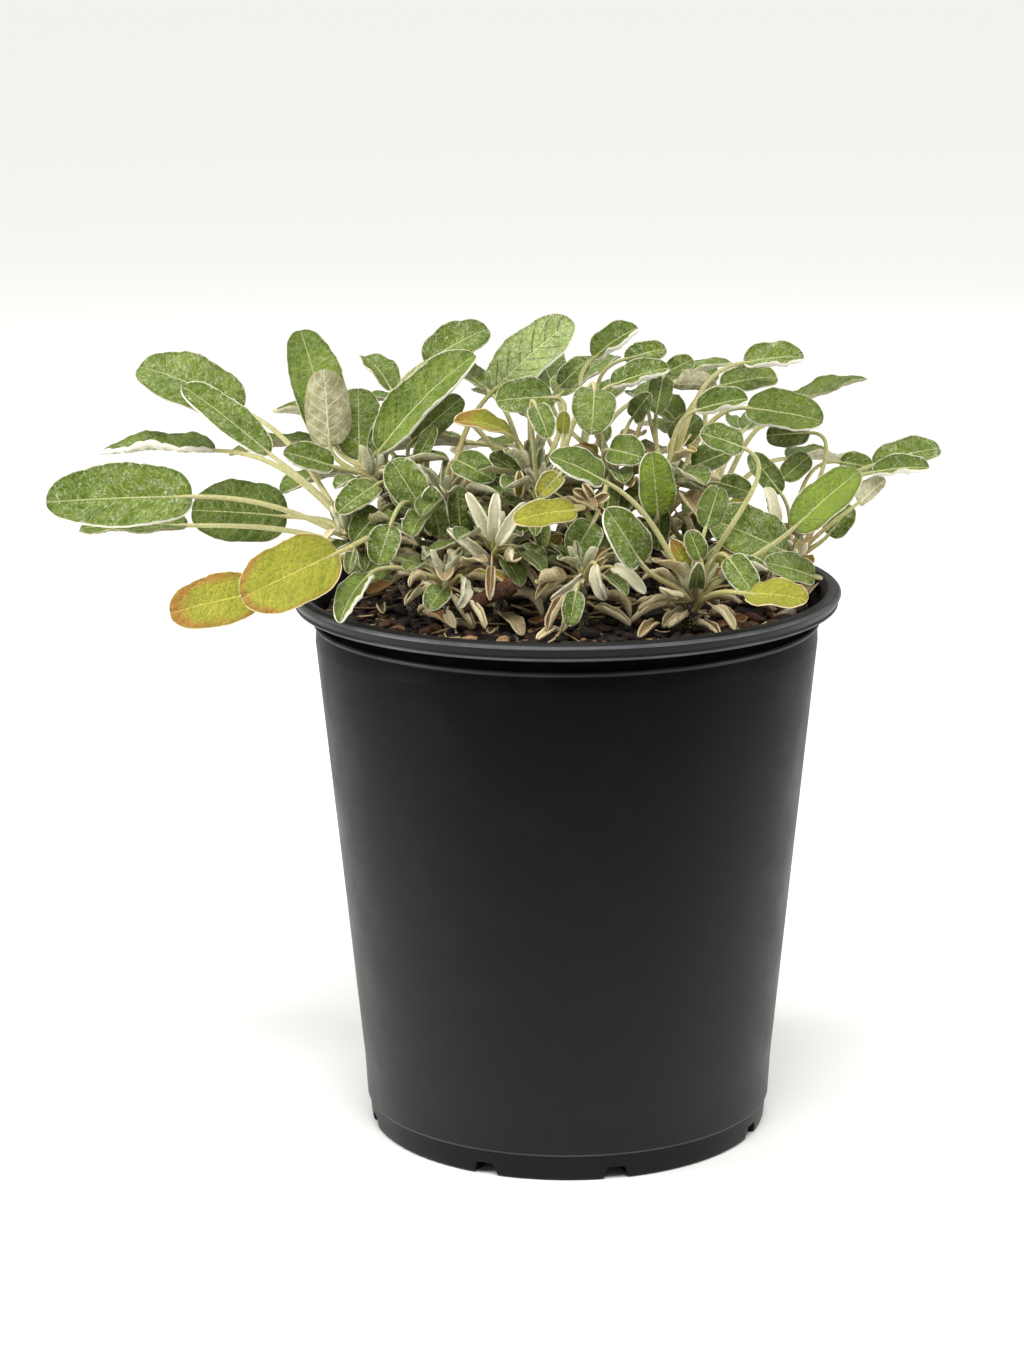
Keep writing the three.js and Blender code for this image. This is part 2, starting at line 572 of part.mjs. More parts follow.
SHOOTS.forEach((shoot) => setShoot(shoot, placeOf(shoot.crown)));
FAR_SHOOTS.forEach((shoot) => setShoot(shoot, [shoot.crown[0], shoot.crown[1], RIM_TOP + shoot.crown[2]]));
[...SHOOTS, ...FAR_SHOOTS].forEach(blockStem);

SHOOTS.forEach((shoot) =>
  shoot.leaves.forEach(([kind, base, tip, width, facing, bow, curl], i) => {
    const leaf = { shoot: shoot.name, kind, width, facing, bow, curl, phase: 2.4 * i, wave: 0.4 + 0.05 * width };
    const tries = SHIFTS.map(([baseShift, tipShift]) => {
      const at = placeOf(leant(base, baseShift));
      const start = stalkStart(shoot, kind, at, i);
      const sits = kind === "pale" && vec(start).distanceTo(vec(at)) < STALKLESS;
      return { base: sits ? start : at, tip: placeOf(leant(tip, tipShift)), start };
    });
    keep(settle(leaf, tries));
  }),
);

// A stream of numbers from 0 to 1 that is the same on every run.
function drawsFrom(seed) {
  let state = seed >>> 0;
  return () => {
    state = (Math.imul(state, 1664525) + 1013904223) >>> 0;
    return state / 4294967296;
  };
}

const draw = drawsFrom(FAR_SEED);
const between = ([low, high], share) => low + (high - low) * share;

// A point at a distance from a start, by heading and climb in degrees.
function carry(start, distance, heading, climb) {
  return [
    start[0] + distance * Math.cos(rad(climb)) * Math.cos(rad(heading)),
    start[1] + distance * Math.cos(rad(climb)) * Math.sin(rad(heading)),
    start[2] + distance * Math.sin(rad(climb)),
  ];
}

FAR_SHOOTS.forEach((shoot) => {
  for (let i = 0; i < shoot.count; i++) {
    const heading = shoot.heading + shoot.spread * ((i + 0.5) / shoot.count - 0.5) + 10 * (draw() - 0.5);
    const climb = between(FAR_CLIMB, i % 2 ? draw() * 0.5 : 0.5 + draw() * 0.5);
    const stalk = between(FAR_STALK, draw());
    const length = between(FAR_BLADE, draw());
    const width = FAR_RATIO * length * (0.9 + 0.3 * draw());
    const tone = draw();
    const leaf = {
      shoot: shoot.name,
      kind: tone < 0.3 ? "dark" : "green",
      width,
      bow: 0.06,
      curl: 0.2 + 0.25 * draw(),
      phase: 6 * draw(),
      wave: 0.4 + 0.05 * width,
    };
    const tries = TURNS.map(([turn, lift]) => {
      const base = carry(shoot.crown, stalk, heading + turn, climb + lift);
      const tip = carry(base, length, heading + turn, climb + lift - DROOP);
      const facing = [0.5 * Math.cos(rad(heading)), 0.5 * Math.sin(rad(heading)), 1];
      return { base, tip, facing, start: stalkStart(shoot, leaf.kind, base, i) };
    });
    const best = settle(leaf, tries);
    if (best.room.least >= CLEARANCE) keep(best);
  }
});

const group = new THREE.Group();
group.name = "potted_red_buckwheat";
const SOFT = { roughness: 0.85, metalness: 0 };
const PLASTIC = { roughness: 0.42, metalness: 0 };

function addPiece(name, geometry, colour, finish) {
  const mesh = new THREE.Mesh(geometry, new THREE.MeshStandardMaterial({ color: colour, ...finish }));
  mesh.name = name;
  group.add(mesh);
}

function leafSolid(leaf) {
  const sheet = solidOf(blade(leaf));
  if (leaf.start === leaf.base) return sheet;
  const steps = vec(leaf.start).distanceTo(vec(leaf.base)) < SHORT_STALK ? 2 : 3;
  const path = stalkPoints(leaf, leafFrame(leaf), steps);
  const radii = path.map((_, i) => STALK_RADIUS + ((STALK_END_RADIUS - STALK_RADIUS) * i) / steps);
  return sheet.add(solidOf(tube(path, radii, STALK_SIDES)));
}

// One node for each shoot: stem, crown and its green leaves, fused. Coloured leaves are nodes of their own.
[...SHOOTS, ...FAR_SHOOTS].forEach((shoot) => {
  const radii = shoot.path.map((_, i) => shoot.stem * (i < 2 ? 1 : 1.1 - 0.1 * i));
  const wider = radii.map((r) => r + GAP / Math.cos(Math.PI / STEM_SIDES));
  let body = solidOf(tube(shoot.path, radii, STEM_SIDES));
  const own = leaves.filter((leaf) => leaf.shoot === shoot.name);
  own.filter((leaf) => !OWN_NODE.includes(leaf.kind)).forEach((leaf) => (body = body.add(leafSolid(leaf))));
  const tone = own.every((leaf) => leaf.kind === "pale") ? COLOURS.pale : COLOURS.green;
  addPiece("shoot_" + shoot.name, geometryOf(outerSkin(body)), tone, SOFT);
  own
    .filter((leaf) => OWN_NODE.includes(leaf.kind))
    .forEach((leaf, i) => {
      const name = `${leaf.kind}_leaf_${shoot.name}${i + 1}`;
      const off = leafSolid(leaf).subtract(solidOf(tube(shoot.path, wider, STEM_SIDES)));
      addPiece(name, geometryOf(outerSkin(off)), COLOURS[leaf.kind], SOFT);
    });
});

// The pot: outer wall from the base's edge up to the rolled rim, then the inner wall and floor.
const rimUnder = RIM_TOP - RIM_HEIGHT;
const ridge = RIM_TOP - RIDGE_DROP;
const potProfile = [
  [0, 0],
  [BASE_RADIUS, 0],
  [FOOT_RADIUS, FOOT_HEIGHT - 0.4],
  [FOOT_RADIUS + 0.5, FOOT_HEIGHT],
  [RIDGE_RADIUS - 0.9, ridge - 0.6],
  [RIDGE_RADIUS, ridge],
  [RIDGE_RADIUS + 1.8, rimUnder],
  [RIM_RADIUS - 2, rimUnder],
  [RIM_RADIUS, rimUnder + 4.2],
  [RIM_RADIUS - 0.5, RIM_TOP - 1.2],
  [RIM_RADIUS - 2, RIM_TOP],
  [MOUTH_RADIUS + 0.6, RIM_TOP],
  [MOUTH_RADIUS, RIM_TOP - 0.9],
  [RIDGE_RADIUS - WALL, ridge],
  [FOOT_RADIUS - WALL, FOOT_HEIGHT],
  [BASE_RADIUS - WALL, FLOOR],
  [0, FLOOR],
].map(([r, z]) => new THREE.Vector2(r, z));

// One drain notch: a wedge that is wider at the bottom, cut through the corner of wall and floor.
function notchCutter(turn) {
  const face = new THREE.Shape();
  face.moveTo(-NOTCH_BOTTOM / 2, -1);
  face.lineTo(NOTCH_BOTTOM / 2, -1);
  face.lineTo(NOTCH_BOTTOM / 2 - 0.3, 0.2);
  face.lineTo(NOTCH_TOP / 2, NOTCH_HEIGHT - 0.7);
  face.lineTo(NOTCH_TOP / 2 - 0.8, NOTCH_HEIGHT);
  face.lineTo(0.8 - NOTCH_TOP / 2, NOTCH_HEIGHT);
  face.lineTo(-NOTCH_TOP / 2, NOTCH_HEIGHT - 0.7);
  face.lineTo(0.3 - NOTCH_BOTTOM / 2, 0.2);
  const depth = FOOT_RADIUS + 4 - NOTCH_INNER_RADIUS;
  const wedge = new THREE.ExtrudeGeometry(face, { depth, bevelEnabled: false });
  wedge.translate(0, 0, NOTCH_INNER_RADIUS);
  wedge.rotateX(Math.PI / 2);
  wedge.rotateZ(rad(turn) + Math.PI / 2);
  wedge.scale(-1, -1, 1);
  return solidOf(wedge);
}

// A lathe about Z from a profile of (radius, height).
function turned(profile, sides) {
  return new THREE.LatheGeometry(profile, sides).rotateX(Math.PI / 2);
}

let pot = solidOf(turned(potProfile, POT_SIDES));
for (let quarter = 0; quarter < 4; quarter++)
  for (const side of [-1, 1]) pot = pot.subtract(notchCutter(NOTCH_FIRST + 90 * quarter + side * NOTCH_SPREAD));
addPiece("pot", geometryOf(pot), COLOURS.pot, PLASTIC);

// Height of the soil: two crossed sets of low swells.
function soilHeight(x, y) {
  const swell = Math.sin(0.21 * x + 0.6) * Math.cos(0.17 * y - 0.4) + 0.6 * Math.sin(0.33 * y + 0.12 * x);
  return RIM_TOP - SOIL_DROP + (SOIL_RELIEF * swell) / 1.6;
}

// The soil fills the pot: rings of points on its top, then its side follows the pot's inner wall.
const SOIL_SPOKES = 24;
const SOIL_RINGS = [15, 30, 46, 61];
function soilBody() {
  const share = (RIM_TOP - SOIL_DROP - FOOT_HEIGHT) / (ridge - FOOT_HEIGHT);
  const topRadius = FOOT_RADIUS + (RIDGE_RADIUS - FOOT_RADIUS) * share - WALL - GAP - 0.4;
  const rings = [...SOIL_RINGS, topRadius];
  const points = [[0, 0, soilHeight(0, 0)]];
  rings.forEach((r) => {
    for (let k = 0; k < SOIL_SPOKES; k++) {
      const x = r * Math.cos((2 * Math.PI * k) / SOIL_SPOKES);
      const y = r * Math.sin((2 * Math.PI * k) / SOIL_SPOKES);
      points.push([x, y, soilHeight(x, y)]);
    }
  });
  const lower = [
    [FOOT_RADIUS - WALL - GAP - 0.4, FOOT_HEIGHT],
    [BASE_RADIUS - WALL - GAP - 0.6, FLOOR + GAP],
  ];
  lower.forEach(([r, z]) => {
    for (let k = 0; k < SOIL_SPOKES; k++) {
      const turn = (2 * Math.PI * k) / SOIL_SPOKES;
      points.push([r * Math.cos(turn), r * Math.sin(turn), z]);
    }
  });
  const faces = [];
  for (let k = 0; k < SOIL_SPOKES; k++) {
    const next = (k + 1) % SOIL_SPOKES;
    faces.push([0, 1 + k, 1 + next]);
    for (let i = 0; i + 1 < rings.length + lower.length; i++) {
      const a = 1 + i * SOIL_SPOKES;
      const b = a + SOIL_SPOKES;
      faces.push([a + k, b + k, b + next], [a + k, b + next, a + next]);
    }
  }
  const floorRing = 1 + (rings.length + 1) * SOIL_SPOKES;
  for (let k = 1; k + 1 < SOIL_SPOKES; k++) faces.push([floorRing, floorRing + k + 1, floorRing + k]);
  return geometryFrom(points, faces);
}

let soil = solidOf(soilBody());
[...SHOOTS, ...FAR_SHOOTS].forEach(({ foot, stem }) => {
  const deep = foot[2] - STEM_DEPTH - GAP;
  const bore = tube([[foot[0], foot[1], deep], [foot[0], foot[1], foot[2] + 6]], [stem + GAP * 3, stem + GAP * 3], BORE_SIDES);
  soil = soil.subtract(solidOf(bore));
});
addPiece("soil", geometryOf(soil), COLOURS.soil, SOFT);

// Larger litter on the soil: place, length, width, thickness, heading, colour and how far its ends lift.
const LITTER = [
  { name: "bark_chip", at: [-20, 4], size: [16, 6, 2.2], heading: 14, colour: COLOURS.bark, lift: 0.6 },
  { name: "bark_sliver", at: [22, -20], size: [20, 3.2, 1.8], heading: 128, colour: COLOURS.bark, lift: 0.4 },
  { name: "dead_leaf", at: [-6, -26], size: [11, 6.5, 1], heading: -20, colour: COLOURS.dead, lift: 1.6 },
  { name: "dead_leaf_small", at: [50, -26], size: [9, 5, 1], heading: 40, colour: COLOURS.dead, lift: 1.2 },
  { name: "pebble", at: [66, -14], size: [6, 4.6, 3], heading: 30, colour: COLOURS.stone, lift: -1 },
  { name: "pebble_small", at: [-14, -42], size: [5, 3.8, 2.6], heading: 80, colour: COLOURS.stone, lift: -0.9 },
];
const LITTER_GAP = 0.45;

// A piece of litter: an eight-sided plate whose underside follows the soil and whose top is drawn in a little.
function litterBody({ at, size: [length, width, thick], heading, lift }, ground) {
  const eye = new THREE.Raycaster();
  const corners = Array.from({ length: 8 }, (_, k) => (2 * Math.PI * k) / 8 + 0.39);
  const place = (along, across, up) => {
    const x = at[0] + along * Math.cos(rad(heading)) - across * Math.sin(rad(heading));
    const y = at[1] + along * Math.sin(rad(heading)) + across * Math.cos(rad(heading));
    eye.set(new THREE.Vector3(x, y, RIM_TOP), new THREE.Vector3(0, 0, -1));
    return [x, y, eye.intersectObject(ground)[0].point.z + LITTER_GAP + up];
  };
  const rise = (turn) => (lift > 0 ? lift * Math.cos(turn) ** 2 : 0);
  const low = corners.map((c) => place((length / 2) * Math.cos(c), (width / 2) * Math.sin(c), rise(c)));
  const draw = lift < 0 ? 0.6 : 0.85;
  const high = corners.map((c) =>
    place((draw * length * Math.cos(c)) / 2, (draw * width * Math.sin(c)) / 2, thick + rise(c)),
  );
  const points = [...low, ...high, place(0, 0, 0), place(0, 0, thick + (lift < 0 ? 0.4 : 0.1))];
  const faces = [];
  corners.forEach((_, k) => {
    const next = (k + 1) % 8;
    faces.push([k, next, 8 + next], [k, 8 + next, 8 + k], [16, next, k], [17, 8 + k, 8 + next]);
  });
  return geometryFrom(points, faces);
}

const ground = group.getObjectByName("soil");
ground.updateMatrixWorld(true);
LITTER.forEach((piece) => addPiece(piece.name, litterBody(piece, ground), piece.colour, SOFT));

export default group;
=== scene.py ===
"""Potted red buckwheat: a low clump of felted leaves in a moulded nursery pot, dressed round its model.

Lengths in this script are millimetres, in the model's own frame, and become metres as a mesh is made.
"""

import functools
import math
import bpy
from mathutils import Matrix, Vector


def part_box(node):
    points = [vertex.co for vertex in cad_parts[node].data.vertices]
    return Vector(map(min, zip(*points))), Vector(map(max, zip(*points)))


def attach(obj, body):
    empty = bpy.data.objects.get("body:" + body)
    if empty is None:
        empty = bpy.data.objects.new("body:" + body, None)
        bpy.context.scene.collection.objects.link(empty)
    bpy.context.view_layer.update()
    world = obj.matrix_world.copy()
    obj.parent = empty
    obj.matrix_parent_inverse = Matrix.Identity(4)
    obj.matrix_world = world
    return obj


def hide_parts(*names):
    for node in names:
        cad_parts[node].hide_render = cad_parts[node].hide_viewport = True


bl_info = {
    "name": "Potted Red Buckwheat",
    "version": (1, 0, 0),
    "blender": (4, 5, 0),
    "location": "View3D > Sidebar > Buckwheat",
    "description": "Builds the leaves, stems, soil, litter and pot of a potted red buckwheat",
    "category": "Add Mesh",
}

from types import SimpleNamespace

import bpy
import numpy as np
from mathutils import Matrix

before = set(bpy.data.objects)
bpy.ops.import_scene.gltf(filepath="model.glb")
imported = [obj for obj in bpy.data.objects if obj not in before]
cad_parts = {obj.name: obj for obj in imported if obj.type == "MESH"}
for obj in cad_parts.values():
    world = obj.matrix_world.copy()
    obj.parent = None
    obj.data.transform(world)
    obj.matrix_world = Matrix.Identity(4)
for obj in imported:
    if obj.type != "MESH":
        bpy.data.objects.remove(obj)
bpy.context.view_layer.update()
MM = 0.001

# The pot, from the frame where it says and otherwise as the model has it
POT_HIGH = np.array(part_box("pot")[1]) / MM
RIM_TOP = float(round(POT_HIGH[2], 1))
RIM_RADIUS = float(round(POT_HIGH[0], 1))
RIM_HEIGHT = 8.5
MOUTH_RADIUS = 78.3
RIDGE_DROP = 13.7
RIDGE_RADIUS = 75.0
FOOT_HEIGHT = 8.5
FOOT_RADIUS = 61.6
WALL = 1.6
FLOOR = 3.0
NOTCH_PLACES = np.array([-95.0 + 90 * quarter + side * 18.65 for quarter in range(4) for side in (-1, 1)])
NOTCH_HEIGHT = 4.0
NOTCH_BOTTOM = 8.0
NOTCH_TOP = 5.4
NOTCH_INNER_RADIUS = 52.0

# The soil and what the shoots stand in
SOIL_DROP = 10.0
SOIL_RELIEF = 1.1
STEM_DEPTH = 13.0

# Leaves follow the same rule as the model's, so that each fine leaf lies where its plain one does.
# Where a stalk joins its blade, as a share of the length, and how near its stem a withered leaf has no stalk
STALK_JOIN = 0.05
STALKLESS = 9.0
# How far off the stem's middle a stalk starts, in stem radii, how much lower each of five in turn starts, as
# a share of the stem, and where on it a coloured leaf's does
SUNK = 0.15
SUNK_COLOURED = 0.5
CROWN_STEP = 0.12
CROWN_STEPS = 5
COLOURED_SHARE = 0.7
# Waves along each edge of a blade
WAVES = 2
# The gap between leaves, the spacing of the points by which it is measured, how many a stalk has at most,
# and how much of a stalk is let off near its crown and near its stem
CLEARANCE = 2.3
SAMPLE_STEP = 3.0
STALK_SAMPLES = 24
LET_OFF = 0.5
LET_OFF_STEM = 0.2
# Steps of the shifts, turns and climbs that a leaf tries, in millimetres and degrees, and how far a blade of
# the far side droops from its stalk's climb
SHIFT_STEP = 3
TURN_STEP = 6
LIFT_STEP = 5
DROOP = 35
# Kinds of leaf that have nodes of their own
OWN_NODE = ("yellow", "orange")

# The eye that the leaves were measured from, over the rim and away from the pot's axis. A reading
# (u, w, depth) is the place (u, w) on the upright plane through the axis, carried along the line of sight to
# its depth.
EYE_DISTANCE = 1046.0
EYE_OVER_RIM = 202.0
EYE_YAW = 0.0159
EYE_ROLL = -0.0063
FOCAL_PIXELS = 3531.2
# The camera of the final view stands a little higher than that eye, and looks down as much more
CAMERA_RISE = 18.0
CAMERA_PITCH = 0.2376
PHOTO_HEIGHT = 1365
SENSOR = 36.0
# Readings higher than this over the rim lean back, by this share of their height over it
DOME_START = 20.0
DOME_LEAN = 0.5

# The measured shoots. A shoot's line holds its name, its foot (x, y), its crown's reading and its stem's
# radius. A leaf's holds its kind, the readings of its base and tip, its width, the way its upper face looks,
# the bow of its midrib and how far its edges turn up.
MEASURED = """
a  -46 -4  -66 13 -10  2.6
green   -97 50.3 -2  -127.5 63.5 4  19  0 -1 0.9  0.08 0.2
green   -89 37.5 -16  -114.5 58 -16  12  0.3 -1 0.5  0.05 0.5
green   -105.5 38 12  -140 37.3 18  17  0 -0.15 1  0.05 0.25
green   -112.5 24.7 -12  -157 23.2 -18  21  0 -1 0.5  0.03 0.2
dark    -114.4 15.3 8  -147 14.4 12  17  0 -0.3 1  0.04 0.2
dark    -84 18 16  -113 20 18  20  0 -1 0.5  0.04 0.1
orange  -92 -4 -27  -120.5 -10.7 -30  16  0 -1 0.45  0.04 0.15
yellow  -69 8 -38  -98.5 -6 -44  20  0 -1 0.4  0.05 0.15
b  36 -29  38.5 -7 -33  2.8
green   11 29.5 -38  -5 37 -46  11  0 -1 0.8  0.08 0.35
green   22.5 4.5 -46  12 21.5 -54  13  0.2 -1 0.3  0.05 0.45
green   53 39 -22  40 43.5 -26  10  0 -1 0.8  0.05 0.3
smooth  68.5 14.5 -30  88 32 -32  13  -0.2 -1 0.6  0.06 0.2
green   49 6 -42  57 -6 -50  9.5  0 -1 0.5  0.06 0.4
yellow  55 -5 -44  73 -7 -58  11  0 -1 1.2  0.06 0.15
green   40.7 5.3 -37  37 14.5 -39  7  0 -1 0.4  0.05 0.4
green   39 -3 -45  40 5 -50  5.5  0 -1 0.4  0.05 0.4
dark    42 15 -22  46 27.5 -22  9  0 -1 0.3  0.05 0.3
c  -34 -28  -37 -1 -32  2.2
green   -60 0.5 -44  -69 -13.5 -62  9  0 -0.6 1  0.12 0.35
green   -37 -3 -42  -42 -10 -50  8  0 -1 0.7  0.06 0.35
pale    -31.5 0 -38  -33 -9.5 -45  5.5  1 -0.6 0.3  0.08 0.9
d  -34 14  -57 29 6  2.8
green   -70 40 16  -79 74 22  17  0.2 -1 0.3  0.04 0.2
back    -71 39.5 2  -72.3 62.7 -4  15  0 1 0.2  0.05 0.35
green   -62 35 18  -62 56.5 24  15  0 -1 0.4  0.04 0.25
green   -56 38 -2  -27 67 -8  17  -0.5 -1 0.7  0.07 0.45
green   -58 36 10  -32 67 12  13  -0.3 -1 0.4  0.05 0.3
green   -70 33.5 -8  -85 38 -13  10  0 -1 0.7  0.06 0.35
green   -57 28 -10  -69 19.5 -18  10  0 -1 0.8  0.06 0.35
green   -44.3 22.3 -14  -52.5 35.6 -18  12.5  0.1 -1 0.2  0.04 0.35
dark    -56 20 -14  -64.5 10.5 -22  10  0 -1 0.6  0.06 0.3
green   -53 16 -18  -57 4 -26  10  0 -1 0.5  0.05 0.3
green   -42 64 24  -23 74 28  14  0 -1 0.8  0.06 0.3
dark    -46 8 12  -56 -1 6  10  0 -1 0.6  0.05 0.3
e  -27 -8  -37 24 -4  2.6
veined  -22 55.5 -2  2 77 -6  17  -0.35 -1 0.5  0.05 0.2
green   -45 35 -4  -39.3 45.7 -6  6  0 -1 0.2  0.05 0.5
dark    -46 41 6  -31 54 8  10  0 -1 0.4  0.04 0.3
green   -38 12.7 -16  -40.5 28 -20  9  -0.2 -1 0.2  0.05 0.4
green   -32 10.5 -12  -33 28 -16  9  0.3 -1 0.2  0.05 0.4
green   -33 35.5 -14  -21.5 29.5 -20  10  0 -1 0.5  0.06 0.35
dark    -24 8 4  -14 21 4  9  0 -1 0.4  0.05 0.3
dark    -22 26 4  -15 38 2  9  0 -1 0.4  0.05 0.3
green   -27 18 -12  -20 9 -18  8  0 -1 0.5  0.05 0.3
f  -8 -10  -9 27 -8  2.4
yellow  -16 42 -16  -33.5 47.3 -20  9  0 -1 0.9  0.08 0.35
green   -4 54 -4  -21 53 -6  13  0 -1 0.7  0.06 0.25
green   -9 52 -14  -5 42 -20  8  0 -1 0.4  0.06 0.4
green   8.5 56.5 -12  7.5 43 -18  14  0.1 -1 0.3  0.05 0.3
smooth  -1 43 -20  -0.5 50.5 -22  5.5  0 -1 0.3  0.05 0.6
yellow  3 20.5 -22  -16 17.4 -32  9.5  0 -1 0.9  0.06 0.2
gold    -2 31 -20  -8.5 24 -26  8  0 -1 0.6  0.06 0.6
back    -8 14 -18  -19 7 -24  8  0 1 0.3  0.05 0.4
dark    -2 9 4  8 20 4  9  0 -1 0.4  0.05 0.3
green   -14 31 -6  -23 37 -10  8  0 -1 0.5  0.05 0.35
g  12 2  14 33 2  2.4
green   8 16.5 -24  2 6 -31  11  0 -1 0.5  0.05 0.3
green   8.3 65.5 2  21.5 74.7 0  11  -0.4 -1 0.7  0.08 0.35
green   13.5 57.5 -6  30.8 62.7 -8  10  0 -1 0.9  0.06 0.4
green   17.5 65 14  30 68 16  8  0 -1 0.6  0.06 0.3
dark    29 60 -6  27 49 -10  8  0 -1 0.4  0.05 0.3
dark    20 48 -2  25.5 55.5 -4  7  0 -1 0.4  0.05 0.3
green   -2 57 10  6.5 65 12  8  0 -1 0.4  0.05 0.3
green   13 38.5 -14  23.5 36 -20  11  0 -1 0.5  0.06 0.3
dark    14 16.5 -12  7 7 -16  10  0 -1 0.4  0.05 0.3
smooth  27.5 18.5 -14  25.5 38 -20  12  0.3 -1 0.1  0.04 0.3
dark    18 9 2  29 15 0  10  0 -1 0.4  0.05 0.3
green   6 27 -4  -1 37 -8  8  0 -1 0.4  0.05 0.35
dark    32 40 8  40 48 8  9  0 -1 0.4  0.05 0.3
h  28 8  29 28 2  2.4
green   39 50 -8  54.5 53.5 -10  10  0 -1 0.9  0.06 0.4
green   53 64 2  71 65.5 4  11  0 -1 0.9  0.07 0.35
green   46 57 12  63 59.5 16  10  0 -1 0.8  0.06 0.35
green   54 50.5 2  77 46.5 -2  14  0 -1 0.6  0.06 0.25
back    33 58 -2  45 57 -6  8  0 1 0.3  0.06 0.5
green   30 61 10  38 65 10  7  0 -1 0.5  0.05 0.3
dark    38 33 -10  50 38 -14  10  0 -1 0.6  0.05 0.3
dark    36 11 4  47 19 2  10  0 -1 0.4  0.05 0.3
green   46 28 0  56 25 -4  8  0 -1 0.5  0.05 0.3
j  58 4  70 4 4  2.8
dark    73 43 8  60 42 12  9  0 -1 0.4  0.05 0.3
dark    64.5 25 0  55 37 -4  8  0 -1 0.4  0.05 0.4
green   65 29 10  73 36 12  8  0 -1 0.4  0.05 0.3
green   82 34 14  92 32 18  8  0 -1 0.6  0.06 0.3
green   92 33 12  112 38 16  11  0 -1 0.8  0.06 0.3
green   92 31 0  109 32.5 0  9  0 -1 1  0.06 0.4
back    88 22 2  96 29 0  8  0 1 0.3  0.05 0.6
green   66 7 -12  43 17.5 -18  17  0.2 -1 0.5  0.06 0.2
green   75 -0.5 -18  59.5 4 -27  10  0.1 -1 0.8  0.06 0.3
pale    63 14 -6  60 27 -6  6  0.4 -1 0.3  0.08 0.9
green   79 12 6  86 21 6  9  0 -1 0.5  0.05 0.3
p  -20 -22  -22 9 -22  1.7
pale    -23 10.5 -23  -30 26 -26  5.5  0.3 -1 0  0.1 0.9
pale    -22 11 -23.5  -21 26 -31  5.5  0 -1 0.1  0.12 0.9
pale    -20.5 10 -23  -12 23 -27  5.5  -0.3 -1 0  0.1 0.9
pale    -23.5 9 -23  -36 15 -29  5  0 -1 0.5  0.1 0.9
pale    -21.5 8 -24  -18 -4 -33  5.5  0.4 -1 0.2  0.12 0.9
q  5 -33  5 1 -34  1.5
pale    1 4 -37  -5 -7 -41  5  0.5 -1 0.2  0.14 1
pale    9 4 -36  12 -7 -41  5.5  -0.5 -1 0.2  0.14 1
pale    14 3 -36  24 -5 -43  6  0 -1 0.6  0.1 0.9
green   3 -4 -42  1 -15 -50  7  0 -1 0.5  0.08 0.4
"""


def shoots_of(table):
    """The shoots of a table of readings, each with its leaves in order."""
    shoots = []
    for line in table.strip().splitlines():
        word, *numbers = line.split()
        numbers = [float(number) for number in numbers]
        if len(word) == 1:
            foot, crown, stem = numbers[:2], numbers[2:5], numbers[5]
            shoots.append({"name": word, "foot": foot, "crown": crown, "stem": stem, "leaves": []})
        else:
            row = (word, numbers[:3], numbers[3:6], numbers[6], numbers[7:10], *numbers[10:])
            shoots[-1]["leaves"].append(row)
    return shoots


SHOOTS = shoots_of(MEASURED)

# Shoots on the far side, set out by rule: foot, crown (height over the rim), the heading of the middle leaf,
# the spread of the fan and the number of leaves.
FAR_SHOOTS = [
    {"name": "k", "foot": [-34, 38], "crown": [-46, 48, 14], "stem": 2.6,
     "heading": 140, "spread": 170, "count": 7},
    {"name": "l", "foot": [4, 38], "crown": [2, 50, 15], "stem": 2.6,
     "heading": 95, "spread": 190, "count": 8},
    {"name": "m", "foot": [38, 38], "crown": [47, 47, 12], "stem": 2.6,
     "heading": 78, "spread": 140, "count": 7},
    {"name": "n", "foot": [-6, 22], "crown": [-12, 32, 26], "stem": 2.2,
     "heading": 110, "spread": 150, "count": 4},
]

# Leaves on the far side share one set of ranges, in millimetres and degrees.
FAR_SEED = 41
FAR_STALK = (26, 44)
FAR_BLADE = (20, 34)
FAR_RATIO = 0.5
FAR_CLIMB = (18, 62)

# The fine blades' grid: its step in millimetres, the least and most rows and columns, and how close its ends
# come to the blade's, as a share of the length
GRID_STEP = 0.85
ROWS = (9, 54)
COLUMNS = (6, 26)
BLADE_END = 0.004
# Their relief: half the thickness, the swelling between side veins and between small ones, raised veins
BLADE_HALF = 0.33
SWELL = 0.55
QUILT = 0.3
UNDER_VEIN = 0.3
# How many side veins a half has, and how they sweep to the tip, by the share of the half and by its square
SIDE_VEINS = 6.5
VEIN_SWEEP = 0.2
VEIN_BEND = 0.08
# The two wavelengths of a crisped edge, and a pucker's breadth and length along the side veins
CRISP = (5.2, 2.7)
PUCKER_SIZE = (0.65, 1.7)
# A stalk's radius, the refraction of a plant's skin, and what the fine blades keep of the model's long wave
STALK_WIDE = 0.92
PLANT_IOR = 1.42
CALM = 0.6
# How far a blade's lower edge rolls up, in radians, and how broad the roll is, as a share of the width
LIP_TURN = 1.9
LIP = 0.05
# Leaves whose lower edge rolls up in a broad band, as a share of their width
LIPS = {
    "a1": 0.1, "a2": 0.18, "a3": 0.18, "b0": 0.2, "b1": 0.12, "c0": 0.42, "d3": 0.1, "d5": 0.22, "e0": 0.13,
    "g1": 0.42, "g2": 0.42, "g7": 0.12, "h0": 0.36, "h1": 0.4, "h3": 0.22, "h6": 0.24, "j4": 0.12, "j5": 0.45,
}

